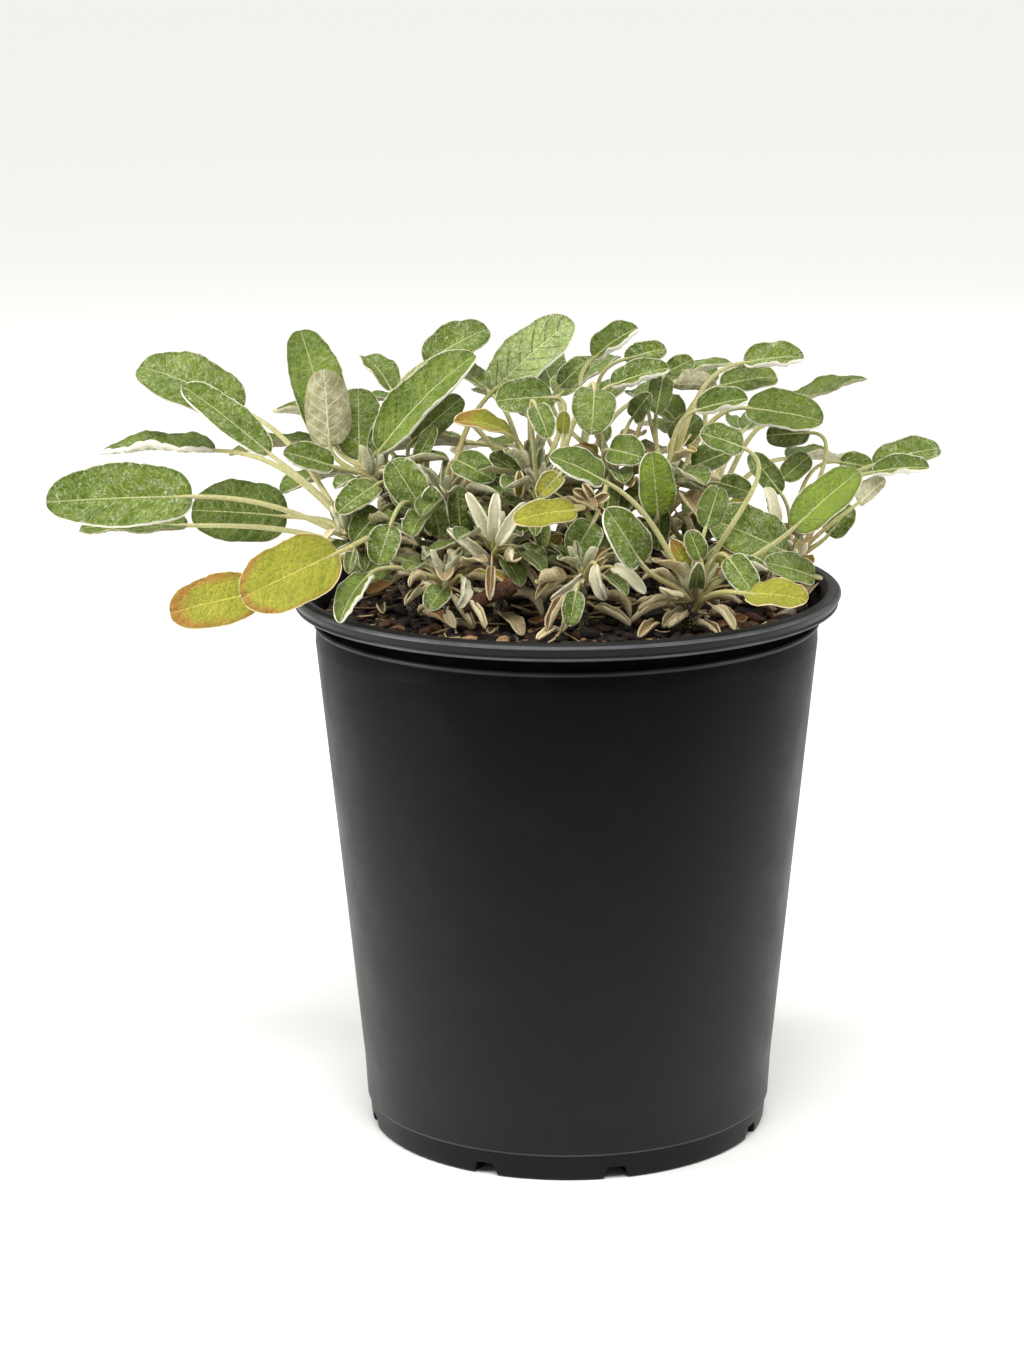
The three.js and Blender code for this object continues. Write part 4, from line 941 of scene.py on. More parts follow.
def off_half(tree, value):
    """How far a value is from a half."""
    value = add(tree, "Math", {0: value, 1: 0.5}, **LESS)
    return add(tree, "Math", {0: value}, operation="ABSOLUTE")


def made_once(make):
    """A material's function, so wrapped that the second call with a name gives the first call's material."""

    @functools.wraps(make)
    def found_or_made(name, *rest):
        return bpy.data.materials.get(name) or make(name, *rest)

    return found_or_made


def new_material(name, colour):
    """An empty node material with its principled shader and output, and its colour in the viewport."""
    material = bpy.data.materials.new(name)
    material.use_nodes = True
    material.diffuse_color = colour
    tree = material.node_tree
    tree.nodes.clear()
    shader = add(tree, "BsdfPrincipled").node
    add(tree, "OutputMaterial", {"Surface": shader.outputs[0]})
    return material, tree, shader


def linear_colours(row):
    """A row of a table of colours, with the hex values turned to linear ones."""
    return {key: linear(value) if isinstance(value, str) else value for key, value in row.items()}


def length(name, description, millimetres):
    """A length that a user sets, shown in the scene's unit."""
    shown = {"min": 0, "precision": 5, "unit": "LENGTH", "subtype": "DISTANCE"}
    return bpy.props.FloatProperty(name=name, description=description, default=millimetres * MM, **shown)


def angle(name, description, radians, low=0.0):
    """An angle that a user sets, shown in the scene's unit."""
    shown = {"min": low, "max": math.pi, "unit": "ROTATION", "subtype": "ANGLE"}
    return bpy.props.FloatProperty(name=name, description=description, default=radians, **shown)


def colour(name, description, code):
    """A colour that a user sets, held as linear red, green, blue and alpha."""
    shown = {"min": 0, "max": 1, "size": 4, "subtype": "COLOR"}
    return bpy.props.FloatVectorProperty(name=name, description=description, default=linear(code), **shown)


def amount(name, description, default, low=1, high=40):
    """A whole number that a user sets."""
    return bpy.props.IntProperty(name=name, description=description, default=default, min=low, max=high)


def share(name, description, default, **limits):
    """A plain number that a user sets."""
    return bpy.props.FloatProperty(name=name, description=description, default=default, min=0, **limits)


GREEN = LEAF_COLOURS["Felted leaf blade"]
AUTUMN = LEAF_COLOURS["Autumn leaf blade"]
WITHERED = LEAF_COLOURS["Withered leaf"]


class BuckwheatPotSettings(bpy.types.PropertyGroup):
    """Sizes and colours of the pot."""

    wall_out: length("Wall out", "How far the wall stands out from the model's at the ridge", WALL_OUT)
    crest_drop: length("Crest drop", "How far the rim's crest lies below the model's", CREST_DROP)
    plastic: colour("Plastic", "The moulded plastic", PLASTIC)
    worn: colour("Worn plastic", "The plastic where it is scuffed", PLASTIC_WORN)
    # The colour of the painted highlight along the pot's edges
    edge: colour("Edges", "The plastic where its edges are rubbed", PLASTIC_HIGHLIGHT)


class BuckwheatSoilSettings(bpy.types.PropertyGroup):
    """Colours of the soil and how much lies on it."""

    peat: colour("Peat", "Moist peat on the high spots", PEAT)
    peat_deep: colour("Wet peat", "Peat in the hollows", PEAT_DEEP)
    bark_dark: colour("Wet bark", "The darkest bark", BARK_DARK)
    bark_brown: colour("Bark", "Red-brown bark", BARK_BROWN)
    bark_tan: colour("Fresh bark", "Tan breaks in the bark", BARK_TAN)
    grit: colour("Grit", "Clean grit and perlite", GRIT)
    grit_stained: colour("Stained grit", "Grit stained by the soil", GRIT_STAINED)
    crumbs: amount("Crumbs", "How many crumbs of bark lie on the soil", CRUMBS, 10, 4000)
    flakes: amount("Flakes", "How many curled flakes of leaf lie on the soil", FLAKES, 2, 300)
    straws: amount("Straws", "How many dry straws lie on the soil", STRAWS, 2, 300)


class BuckwheatLeafSettings(bpy.types.PropertyGroup):
    """Sizes and colours of the leaves and stalks."""

    thickness: length("Thickness", "A blade's thickness between its veins", 2 * BLADE_HALF)
    swell: length("Swell", "How far a blade rises between its side veins", SWELL)
    quilt: length("Quilting", "How far a blade rises between its small veins", QUILT)
    under_vein: length("Raised veins", "How far the side veins stand out below", UNDER_VEIN)
    stalk_radius: length("Stalk radius", "A stalk's radius where it leaves its stem", STALK_WIDE)
    lip_turn: angle("Lip turn", "How far a blade's lower edge rolls up", LIP_TURN, 0.1)
    calm: share("Wave", "The part of the model's long waves that the blades keep", CALM, max=1)
    remains: amount("Withered leaves", "Withered leaves on each stem", REMAINS)
    inner: amount("Small leaves", "Small leaves under the canopy on each stem", INNER)
    fresh_leaves: amount("New leaves", "New leaves round each crown", NEW_LEAVES, high=20)
    # Deep green is also painted into the hollows of a blade's puckers as shade
    deep: colour("Deep green", "Green in the hollows of a blade", GREEN["deep"])
    face: colour("Green", "Green of a blade's upper face", GREEN["face"])
    light: colour("Light green", "Green where a blade is palest", GREEN["light"])
    # Shade green is also painted over a leaf that lies in shade, as painted shade
    dark: colour("Shade green", "Green of the oldest leaves and by the edge", GREEN["dark"])
    # Silver is partly the hairs' own colour and partly a painted highlight on the puckers' high spots
    silver: colour("Silver", "The hairs on a blade's high spots", GREEN["silver"])
    felt: colour("Felt", "The felt under a green blade", GREEN["felt"])
    # Lip felt is painted light: a rolled lip faces down into shade, and its felt is painted paler
    lip: colour("Lip felt", "The felt on a rolled lip", GREEN["lip"])
    autumn: colour("Autumn yellow", "A turning leaf's upper face", AUTUMN["face"])
    autumn_edge: colour("Autumn orange", "A turning leaf's edge and tip", AUTUMN["turned"])
    withered: colour("Withered", "A withered leaf's upper face", WITHERED["face"])

    def palette(self, name):
        """The colours of one kind of leaf, with those that the user sets put over the table's."""
        own = {
            "Felted leaf blade": {key: key for key in "deep face light dark silver felt lip".split()},
            "Autumn leaf blade": {"face": "autumn", "turned": "autumn_edge"},
            "Withered leaf": {"face": "withered"},
        }
        palette = linear_colours(LEAF_COLOURS[name])
        for key, prop in own.get(name, {}).items():
            palette[key] = tuple(getattr(self, prop))
        return palette


class BuckwheatStageSettings(bpy.types.PropertyGroup):
    """The floor, the light and the camera's height."""

    floor: colour("Floor", "The studio floor", FLOOR_COLOUR)
    world: share("Room light", "Strength of the light from all sides", WORLD_LIGHT)
    sun: share("Sun", "Strength of the soft sun", SUN_LIGHT)
    sun_spread: angle("Sun spread", "The angle that the soft sun fills", math.radians(SUN_SPREAD))
    camera_rise: length("Camera rise", "How far the camera stands over the eye of the readings", CAMERA_RISE)


@made_once
def leaf_material(name, settings):
    """A felted leaf of red buckwheat: a living leaf's waxy skin under short matted white hairs.

    The hairs make it matt, with a soft sheen at a glance, and gather as a cream felt on the under face and
    along the edge. The upper face shows green through them, netted by sunken veins into cells 2 mm across.
    """
    palette = settings.palette(name)
    material, tree, shader = new_material(name, palette["face"])
    along, across, upper, luck = layer_values(tree, "leaf")
    edge, off_rib, length, half = layer_values(tree, "size")
    yellow, felt, dark, veined = layer_values(tree, "tone")
    place = add(tree, "TexCoord", out="Object")
    broad = add(tree, "TexNoise", {"Vector": place, "Scale": across_mm(11), "Detail": 3.0})
    mottle = {"Vector": place, "Scale": across_mm(2.6), "Detail": 3.0, "Roughness": 0.6}
    mottle = add(tree, "TexNoise", mottle)
    fine = add(tree, "TexNoise", {"Vector": place, "Scale": across_mm(0.7), "Detail": 2.0})

    # Side veins: near a whole number of vein phase, shifted by a little noise
    v = add(tree, "Math", {0: across, 1: 2.0, 2: -1.0}, **TIMES_PLUS)
    side = add(tree, "Math", {0: v}, operation="ABSOLUTE")
    beat = add(tree, "Math", {0: v, 1: 0.0}, operation="GREATER_THAN")
    swept = add(tree, "Math", {0: side, 1: -VEIN_BEND, 2: -VEIN_SWEEP}, **TIMES_PLUS)
    swept = add(tree, "Math", {0: swept, 1: side, 2: along}, **TIMES_PLUS)
    wander = add(tree, "Math", {0: mottle, 1: 0.05, 2: swept}, **TIMES_PLUS)
    phase = add(tree, "Math", {0: beat, 1: 0.5}, **TIMES)
    phase = add(tree, "Math", {0: wander, 1: SIDE_VEINS, 2: phase}, **TIMES_PLUS)
    phase = add(tree, "Math", {0: phase}, operation="FRACT")
    line = add(tree, "MapRange", {0: off_half(tree, phase), 1: 0.44, 2: 0.49}, **SMOOTH)
    fade = add(tree, "MapRange", {0: side, 1: 0.92, 2: 0.55}, **SMOOTH)
    side_vein = add(tree, "Math", {0: line, 1: fade}, **TIMES)

    # Net of small veins, and the domed cells between them
    net = {"Vector": place, "Scale": across_mm(2.1), "Randomness": 0.9}
    net = add(tree, "TexVoronoi", net, feature="DISTANCE_TO_EDGE")
    cell = add(tree, "MapRange", {0: net, 1: 0.02, 2: 0.3}, **SMOOTH)
    vein_net = add(tree, "Math", {0: 1.0, 1: cell}, **LESS)

    # Midrib: half a millimetre wide, and thinner towards the tip
    rib_width = add(tree, "Math", {0: along, 1: -0.2, 2: 0.3}, **TIMES_PLUS)
    rib = add(tree, "Math", {0: off_rib, 1: rib_width}, operation="DIVIDE")
    rib = add(tree, "MapRange", {0: rib, 1: 1.1, 2: 0.55}, **SMOOTH)

    # Curly hairs: the level lines of a noise, broken up by another
    curl = {"Vector": place, "Scale": across_mm(1.2), "Detail": 1.5, "Distortion": 1.2}
    curl = add(tree, "TexNoise", curl)
    curl = add(tree, "MapRange", {0: off_half(tree, curl), 1: 0.06, 2: 0.015}, **SMOOTH)
    patchy = add(tree, "MapRange", {0: mottle, 1: 0.42, 2: 0.56}, **SMOOTH)
    hairs = add(tree, "Math", {0: curl, 1: patchy}, **TIMES)

    # Puckers between the smallest veins: a noise on the leaf's face, drawn out along the side veins. Deep
    # green is painted into their hollows as shade, and silver onto their high spots, partly the hairs and
    # partly a painted highlight; both show less on a leaf in painted shade
    wide, long = PUCKER_SIZE
    off = add(tree, "Math", {0: side, 1: half}, **TIMES)
    down = add(tree, "Math", {0: off, 1: -0.6, 2: length}, **TIMES_PLUS)
    leaf_own = add(tree, "Math", {0: luck, 1: 41.0, 2: beat}, **TIMES_PLUS)
    down = add(tree, "Math", {0: down, 1: 1 / wide}, **TIMES)
    out_way = add(tree, "Math", {0: off, 1: 1 / long}, **TIMES)
    on_leaf = add(tree, "CombineXYZ", {0: down, 1: out_way, 2: leaf_own})
    pucker = add(tree, "TexNoise", {"Vector": on_leaf, "Scale": 1.0, "Detail": 2.0, "Distortion": 0.7})
    patch = add(tree, "MapRange", {0: broad, 1: 0.4, 2: 0.6, 3: 0.25, 4: 1.0})
    risen = add(tree, "MapRange", {0: pucker, 1: 0.54, 2: 0.66}, **SMOOTH)
    risen = add(tree, "Math", {0: risen, 1: patch}, **TIMES)
    sunken = add(tree, "MapRange", {0: pucker, 1: 0.47, 2: 0.36, 4: 0.6}, **SMOOTH)
    rough_leaf = add(tree, "MapRange", {0: luck, 1: 0.05, 2: 0.6, 3: 0.25, 4: 1.0})
    lit_leaf = add(tree, "Math", {0: dark, 1: -0.6, 2: 1.0}, **TIMES_PLUS, use_clamp=True)
    rough_leaf = add(tree, "Math", {0: rough_leaf, 1: lit_leaf}, **TIMES)
    hollow_shade = add(tree, "Math", {0: sunken, 1: rough_leaf}, **TIMES)
    hollow_shade = add(tree, "Math", {0: hollow_shade, 1: palette["pucker"]}, **TIMES)
    hair_and_highlight_spots = add(tree, "Math", {0: risen, 1: rough_leaf}, **TIMES)
    hair_and_highlight_spots = add(tree, "Math", {0: hair_and_highlight_spots, 1: palette["pucker"]}, **TIMES)
    hairy = add(tree, "Math", {0: hairs, 1: rough_leaf}, **TIMES)
    hairy = add(tree, "Math", {0: hairy, 1: palette["hairy"]}, **TIMES)

    # How fresh the green is, how lit in broad patches, how much painted shade darkens a leaf that lies in
    # shade, and how much the net of veins shows
    fresh = add(tree, "MapRange", {0: luck, 1: 0.14, 2: 0.0, 4: 0.75})
    lit = add(tree, "MapRange", {0: broad, 1: 0.42, 2: 0.68, 4: 0.5})
    painted_leaf_shade = add(tree, "Math", {0: dark, 1: 0.75}, **TIMES, use_clamp=True)
    veil = add(tree, "Math", {0: vein_net, 1: 0.22}, **TIMES)
    # A veined leaf is silvery between dark green veins, and others have faint pale ones
    silver = add(tree, "MapRange", {0: cell, 3: 0.3, 4: 0.55})
    silver = add(tree, "Math", {0: silver, 1: veined}, **TIMES)
    strong = add(tree, "Math", {0: veined, 1: side_vein}, **TIMES)
    plain = add(tree, "Math", {0: 1.0, 1: veined}, **LESS)
    faint = add(tree, "Math", {0: side_vein, 1: plain}, **TIMES)
    faint = add(tree, "Math", {0: faint, 1: 0.34}, **TIMES)
    # Yellowing runs in from the edge and the tip
    border = add(tree, "MapRange", {0: edge, 1: 4.5, 2: 0.0, 4: 0.35}, **SMOOTH)
    turning = add(tree, "Math", {0: yellow, 1: border}, operation="ADD")
    tip_way = add(tree, "MapRange", {0: along, 1: 0.5, 2: 1.0, 4: 0.9}, **SMOOTH)
    turning = add(tree, "Math", {0: tip_way, 1: yellow, 2: turning}, **TIMES_PLUS)
    turning = add(tree, "Math", {0: broad, 1: 0.7, 2: turning}, **TIMES_PLUS)
    turning = add(tree, "MapRange", {0: turning, 1: 0.8, 2: 1.2, 4: 0.9}, **SMOOTH)
    # Darker green just inside the pale edge
    band = add(tree, "MapRange", {0: edge, 1: 1.9, 2: 0.7}, **SMOOTH)
    band = add(tree, "Math", {0: band, 1: 0.4}, **TIMES)

    # The upper face: each colour lies over the ones before it
    shade = add(tree, "MapRange", {0: mottle, 1: 0.3, 2: 0.7})
    face = palette["deep"]
    for share, key in (
        (shade, "face"),
        (fresh, "fresh"),
        (lit, "light"),
        (painted_leaf_shade, "dark"),
        (veil, "light"),
        (silver, "silver"),
        (strong, "dark"),
        (faint, "vein"),
        (hollow_shade, "deep"),
        (hair_and_highlight_spots, "silver"),
        (turning, "turned"),
        (band, "dark"),
        (rib, "vein"),
        (hairy, "hair"),
    ):
        face = add(tree, "Mix", {0: share, 6: face, 7: palette[key]}, **RGBA)

    # Felt on the under face, along the edge, and wherever a leaf is withered: mottled, darker under a leaf's
    # painted shade and paler where that is below 0, and palest on a rolled lip, where it is painted light
    # since the lip faces down into shade
    ragged = add(tree, "Math", {0: fine, 1: 0.4}, **TIMES)
    rim = add(tree, "Math", {0: edge, 1: ragged}, **LESS)
    rim = add(tree, "MapRange", {0: rim, 1: 0.14, 2: -0.04}, **SMOOTH)
    below = add(tree, "Math", {0: 1.0, 1: upper}, **LESS)
    cover = add(tree, "Math", {0: rim, 1: below}, **LARGER)
    cover = add(tree, "Math", {0: cover, 1: felt}, **LARGER, use_clamp=True)
    felt_mottle_and_shade = add(tree, "MapRange", {0: mottle, 1: 0.3, 2: 0.7, 3: 0.35, 4: 1.0})
    felt_mottle_and_shade = add(tree, "Math", {0: dark, 1: -0.9, 2: felt_mottle_and_shade}, **TIMES_PLUS, use_clamp=True)
    seen = add(tree, "Math", {0: side_vein, 1: rib}, **LARGER)
    seen = add(tree, "Math", {0: seen, 1: 0.75}, **TIMES)
    lip = add(tree, "Math", {0: upper, 1: -1.0}, **TIMES, use_clamp=True)
    wool = palette["felt_shade"]
    for share, key in ((felt_mottle_and_shade, "felt"), (seen, "felt"), (lip, "lip")):
        wool = add(tree, "Mix", {0: share, 6: wool, 7: palette[key]}, **RGBA)

    # Relief: cells domed between sunken veins, hairs standing up, felt grainy
    low = add(tree, "Math", {0: side_vein, 1: -0.6, 2: pucker}, **TIMES_PLUS)
    low = add(tree, "Math", {0: cell, 1: 0.5, 2: low}, **TIMES_PLUS)
    high = add(tree, "Math", {0: hairs, 1: 0.5, 2: low}, **TIMES_PLUS)
    grain = add(tree, "Math", {0: fine, 1: 0.9}, **TIMES)
    relief = add(tree, "Mix", {0: cover, 2: high, 3: grain})
    finish = {
        "Base Color": add(tree, "Mix", {0: cover, 6: face, 7: wool}, **RGBA),
        "Normal": add(tree, "Bump", {"Height": relief, "Distance": 0.45 * MM, "Strength": 0.9}),
        "Roughness": add(tree, "MapRange", {0: cover, 3: palette["roughness"], 4: 0.92}),
        "IOR": PLANT_IOR,
        "Specular IOR Level": 0.35,
        "Sheen Weight": 0.05,
        "Sheen Roughness": 0.45,
    }
    fill(tree, shader, finish)
    return material


@made_once
def stalk_material(name):
    """Leaf stalks, fleshy and covered in cream hairs, and stems of soft bark where a stem's layer says so."""
    palette = linear_colours(STALK_COLOURS[name])
    material, tree, shader = new_material(name, palette["flesh"])
    along, round_it, _, luck = layer_values(tree, "leaf")
    yellow, _, _, woody = layer_values(tree, "tone")
    place = add(tree, "TexCoord", out="Object")
    mottle = add(tree, "TexNoise", {"Vector": place, "Scale": across_mm(2.2), "Detail": 3.0})
    fine = add(tree, "TexNoise", {"Vector": place, "Scale": across_mm(0.6), "Detail": 2.0})
    # The foot is flushed with pink or tan, and dry round the crown, and a darker stripe runs along one side
    green = add(tree, "MapRange", {0: luck, 1: 0.25, 2: 0.8, 4: 0.6})
    foot = add(tree, "MapRange", {0: along, 1: 0.85, 2: 0.0, 4: 0.95}, **SMOOTH)
    blush = add(tree, "Math", {0: luck, 1: 2.0}, operation="POWER")
    foot = add(tree, "Math", {0: foot, 1: blush}, **TIMES)
    stripe = add(tree, "MapRange", {0: off_half(tree, round_it), 1: 0.16, 2: 0.05, 4: 0.3}, **SMOOTH)
    # Stem bark is red-brown, split lengthwise into flakes
    flake = add(tree, "MapRange", {0: mottle, 1: 0.38, 2: 0.62})
    bark = add(tree, "Mix", {0: flake, 6: palette["bark_deep"], 7: palette["bark"]}, **RGBA)
    downy = add(tree, "MapRange", {0: fine, 1: 0.5, 2: 0.68, 4: 0.55})
    colour = palette["shade"]
    for share, over in (
        (mottle, palette["flesh"]),
        (green, palette["green"]),
        (foot, palette["flush"]),
        (yellow, palette["turned"]),
        (stripe, palette["green"]),
        (woody, bark),
        (downy, palette["hair"]),
    ):
        colour = add(tree, "Mix", {0: share, 6: colour, 7: over}, **RGBA)
    height = add(tree, "Math", {0: fine, 1: 0.4, 2: mottle}, **TIMES_PLUS)
    finish = {
        "Base Color": colour,
        "Normal": add(tree, "Bump", {"Height": height, "Distance": 0.22 * MM, "Strength": 0.7}),
        "Roughness": 0.7,
        "IOR": PLANT_IOR,
        "Sheen Weight": 0.12,
        "Sheen Roughness": 0.4,
    }
    fill(tree, shader, finish)
    return material


@made_once
def pot_material(name, settings):
    """Moulded polypropylene, black: a satin skin with the mould's fine grain, scuffed paler here and there,
    and with a painted highlight along its edges. The finish layer holds its glossiness, graded up the wall as
    a painted shade, and how much painted highlight an edge gets."""
    plastic, worn_plastic, edge = tuple(settings.plastic), tuple(settings.worn), tuple(settings.edge)
    material, tree, shader = new_material(name, plastic)
    gloss_and_shade, highlit, _, _ = layer_values(tree, "finish")
    place = add(tree, "TexCoord", out="Object")
    grain = add(tree, "TexNoise", {"Vector": place, "Scale": across_mm(0.9), "Detail": 3.0})
    scuffs = {"Vector": place, "Scale": across_mm(18), "Detail": 5.0, "Roughness": 0.65}
    scuffs = add(tree, "TexNoise", scuffs)
    worn = add(tree, "MapRange", {0: scuffs, 1: 0.5, 2: 0.75, 4: 0.5})
    colour = add(tree, "Mix", {0: worn, 6: plastic, 7: worn_plastic}, **RGBA)
    # A painted highlight along the edges, uneven where the scuffs are
    uneven = add(tree, "MapRange", {0: scuffs, 1: 0.35, 2: 0.6, 3: 0.55, 4: 1.0})
    highlit = add(tree, "Math", {0: highlit, 1: uneven}, **TIMES)
    # The glossiness from the finish layer sets the specular level, graded as a painted shade: less up the
    # wall, nil on the skirt under the rim
    finish = {
        "Base Color": add(tree, "Mix", {0: highlit, 6: colour, 7: edge}, **RGBA),
        "Normal": add(tree, "Bump", {"Height": grain, "Distance": 0.06 * MM, "Strength": 0.5}),
        "Roughness": add(tree, "MapRange", {0: scuffs, 1: 0.3, 2: 0.7, 3: 0.36, 4: 0.48}),
        "Specular IOR Level": gloss_and_shade,
        "IOR": 1.49,
    }
    fill(tree, shader, finish)
    return material


@made_once
def soil_material(name, settings):
    """Composted bark and peat, moist: nearly black, with crumbs of red-brown and tan bark in it."""
    peat, wet = tuple(settings.peat), tuple(settings.peat_deep)
    material, tree, shader = new_material(name, peat)
    place = add(tree, "TexCoord", out="Object")
    broad = {"Vector": place, "Scale": across_mm(6), "Detail": 5.0, "Roughness": 0.7}
    broad = add(tree, "TexNoise", broad)
    crumbs = add(tree, "TexVoronoi", {"Vector": place, "Scale": across_mm(1.7)}, out="Color")
    pick = add(tree, "SeparateColor", {0: crumbs})
    fine = add(tree, "TexNoise", {"Vector": place, "Scale": across_mm(0.8), "Detail": 3.0})
    brown = add(tree, "MapRange", {0: pick, 1: 0.78, 2: 0.86, 4: 0.7})
    tan = add(tree, "MapRange", {0: pick, 1: 0.92, 2: 0.94, 4: 0.8})
    colour = wet
    for share, over in ((broad, peat), (brown, tuple(settings.bark_brown)), (tan, tuple(settings.bark_tan))):
        colour = add(tree, "Mix", {0: share, 6: colour, 7: over}, **RGBA)
    height = add(tree, "Math", {0: fine, 1: 0.6, 2: broad}, **TIMES_PLUS)
    bump = add(tree, "Bump", {"Height": height, "Distance": 0.8 * MM, "Strength": 0.9})
    fill(tree, shader, {"Base Color": colour, "Normal": bump, "Roughness": 0.88})
    return material


@made_once
def bark_material(name, settings):
    """Pine bark, broken up: layered and corky, dark where wet, with red-brown and tan breaks. The layer tone
    holds each crumb's own draw, by which a few are tan or orange and the rest nearly black."""
    colours = (settings.peat_deep, settings.bark_dark, settings.bark_brown, settings.bark_tan)
    deep, wet, brown, tan = (tuple(colour) for colour in colours)
    material, tree, shader = new_material(name, brown)
    own, _, _, _ = layer_values(tree, "tone")
    place = add(tree, "TexCoord", out="Object")
    grain = {"Vector": place, "Scale": across_mm(1.4), "Detail": 4.0, "Roughness": 0.65}
    grain = add(tree, "TexNoise", grain)
    shade = add(tree, "MapRange", {0: grain, 1: 0.38, 2: 0.66})
    pairs = ((deep, wet), (wet, brown), (brown, tan))
    colour, warm, pale = (add(tree, "Mix", {0: shade, 6: low, 7: high}, **RGBA) for low, high in pairs)
    is_warm = add(tree, "MapRange", {0: own, 1: 0.66, 2: 0.86})
    is_pale = add(tree, "MapRange", {0: own, 1: 0.92, 2: 0.98})
    for share, over in ((is_warm, warm), (is_pale, pale)):
        colour = add(tree, "Mix", {0: share, 6: colour, 7: over}, **RGBA)
    bump = add(tree, "Bump", {"Height": grain, "Distance": 0.5 * MM, "Strength": 0.9})
    fill(tree, shader, {"Base Color": colour, "Normal": bump, "Roughness": 0.85})
    return material


@made_once
def stone_material(name, settings):
    """Grit and perlite: pale, dusty and pitted, stained by the soil."""
    clean, stained = tuple(settings.grit), tuple(settings.grit_stained)
    material, tree, shader = new_material(name, clean)
    place = add(tree, "TexCoord", out="Object")
    stain = add(tree, "TexNoise", {"Vector": place, "Scale": across_mm(2.2), "Detail": 4.0})
    shade = add(tree, "MapRange", {0: stain, 1: 0.35, 2: 0.65})
    colour = add(tree, "Mix", {0: shade, 6: stained, 7: clean}, **RGBA)
    bump = add(tree, "Bump", {"Height": stain, "Distance": 0.4 * MM, "Strength": 0.6})
    fill(tree, shader, {"Base Color": colour, "Normal": bump, "Roughness": 0.8})
    return material


def aimed(place):
    """Where a lamp stands, in metres, turned so that it shines at AIM."""
    way = unit(np.array(AIM) - np.array(place))
    side = unit(np.cross(way, (0, 0, 1)))
    turn = Matrix(np.stack([side, np.cross(side, way), -way], axis=1).tolist())
    return Matrix.Translation(place) @ turn.to_4x4()


def add_camera(rise):
    """The camera where the photograph was taken: before the pot and above it, turned and rolled a little."""
    flat = math.cos(CAMERA_PITCH)
    ahead = np.array([-math.sin(EYE_YAW) * flat, math.cos(EYE_YAW) * flat, -math.sin(CAMERA_PITCH)])
    level = np.array([math.cos(EYE_YAW), math.sin(EYE_YAW), 0])
    upright = np.cross(level, ahead)
    right = level * math.cos(EYE_ROLL) + upright * math.sin(EYE_ROLL)
    up = upright * math.cos(EYE_ROLL) - level * math.sin(EYE_ROLL)
    lens = bpy.data.cameras.new("photo_camera")
    lens.sensor_fit, lens.sensor_height = "VERTICAL", SENSOR
    lens.lens = FOCAL_PIXELS * SENSOR / PHOTO_HEIGHT
    lens.clip_start, lens.clip_end = 0.01, 50
    camera = new_object("photo_camera", lens)
    turn = Matrix(np.stack([right, up, -ahead], axis=1).tolist())
    stand = (0, -EYE_DISTANCE * MM, (RIM_TOP + EYE_OVER_RIM) * MM + rise)
    camera.matrix_world = Matrix.Translation(stand) @ turn.to_4x4()
    bpy.context.scene.camera = camera


def build_stage(settings):
    """A plain pale floor, soft studio light and the camera."""
    ground = bpy.data.meshes.new("studio_floor")
    corners = [(x * FLOOR_REACH, y * FLOOR_REACH, 0) for x, y in ((-1, -1), (1, -1), (1, 1), (-1, 1))]
    ground.from_pydata(corners, [], [(0, 1, 2, 3)])
    material, tree, shader = new_material("Matt studio floor", tuple(settings.floor))
    fill(tree, shader, {"Base Color": tuple(settings.floor), "Roughness": 0.9})
    ground.materials.append(material)
    new_object("studio_floor", ground)

    world = bpy.data.worlds.new("Soft studio")
    world.use_nodes = True
    tree = world.node_tree
    fill(tree, tree.nodes["Background"], {"Color": (1, 1, 1, 1), "Strength": settings.world})
    bpy.context.scene.world = world
    bpy.context.scene.view_settings.view_transform = "Standard"
    sun = bpy.data.lights.new("soft_sun", "SUN")
    sun.energy, sun.angle = settings.sun, settings.sun_spread
    new_object("soft_sun", sun).matrix_world = aimed(SUN_PLACE)
    for name, place, size, power in LIGHTS:
        lamp = bpy.data.lights.new(name, "AREA")
        lamp.shape, lamp.size, lamp.size_y, lamp.energy = "RECTANGLE", size[0], size[1], power
        new_object(name, lamp).matrix_world = aimed(place)
    add_camera(settings.camera_rise)


def vein_phase(t, v):
    """Rises by one from a side vein to the next: the veins leave the midrib by turns and sweep to the tip."""
    side = np.abs(v)
    return SIDE_VEINS * (t - VEIN_SWEEP * side - VEIN_BEND * side**2) + np.where(v > 0, 0.5, 0)


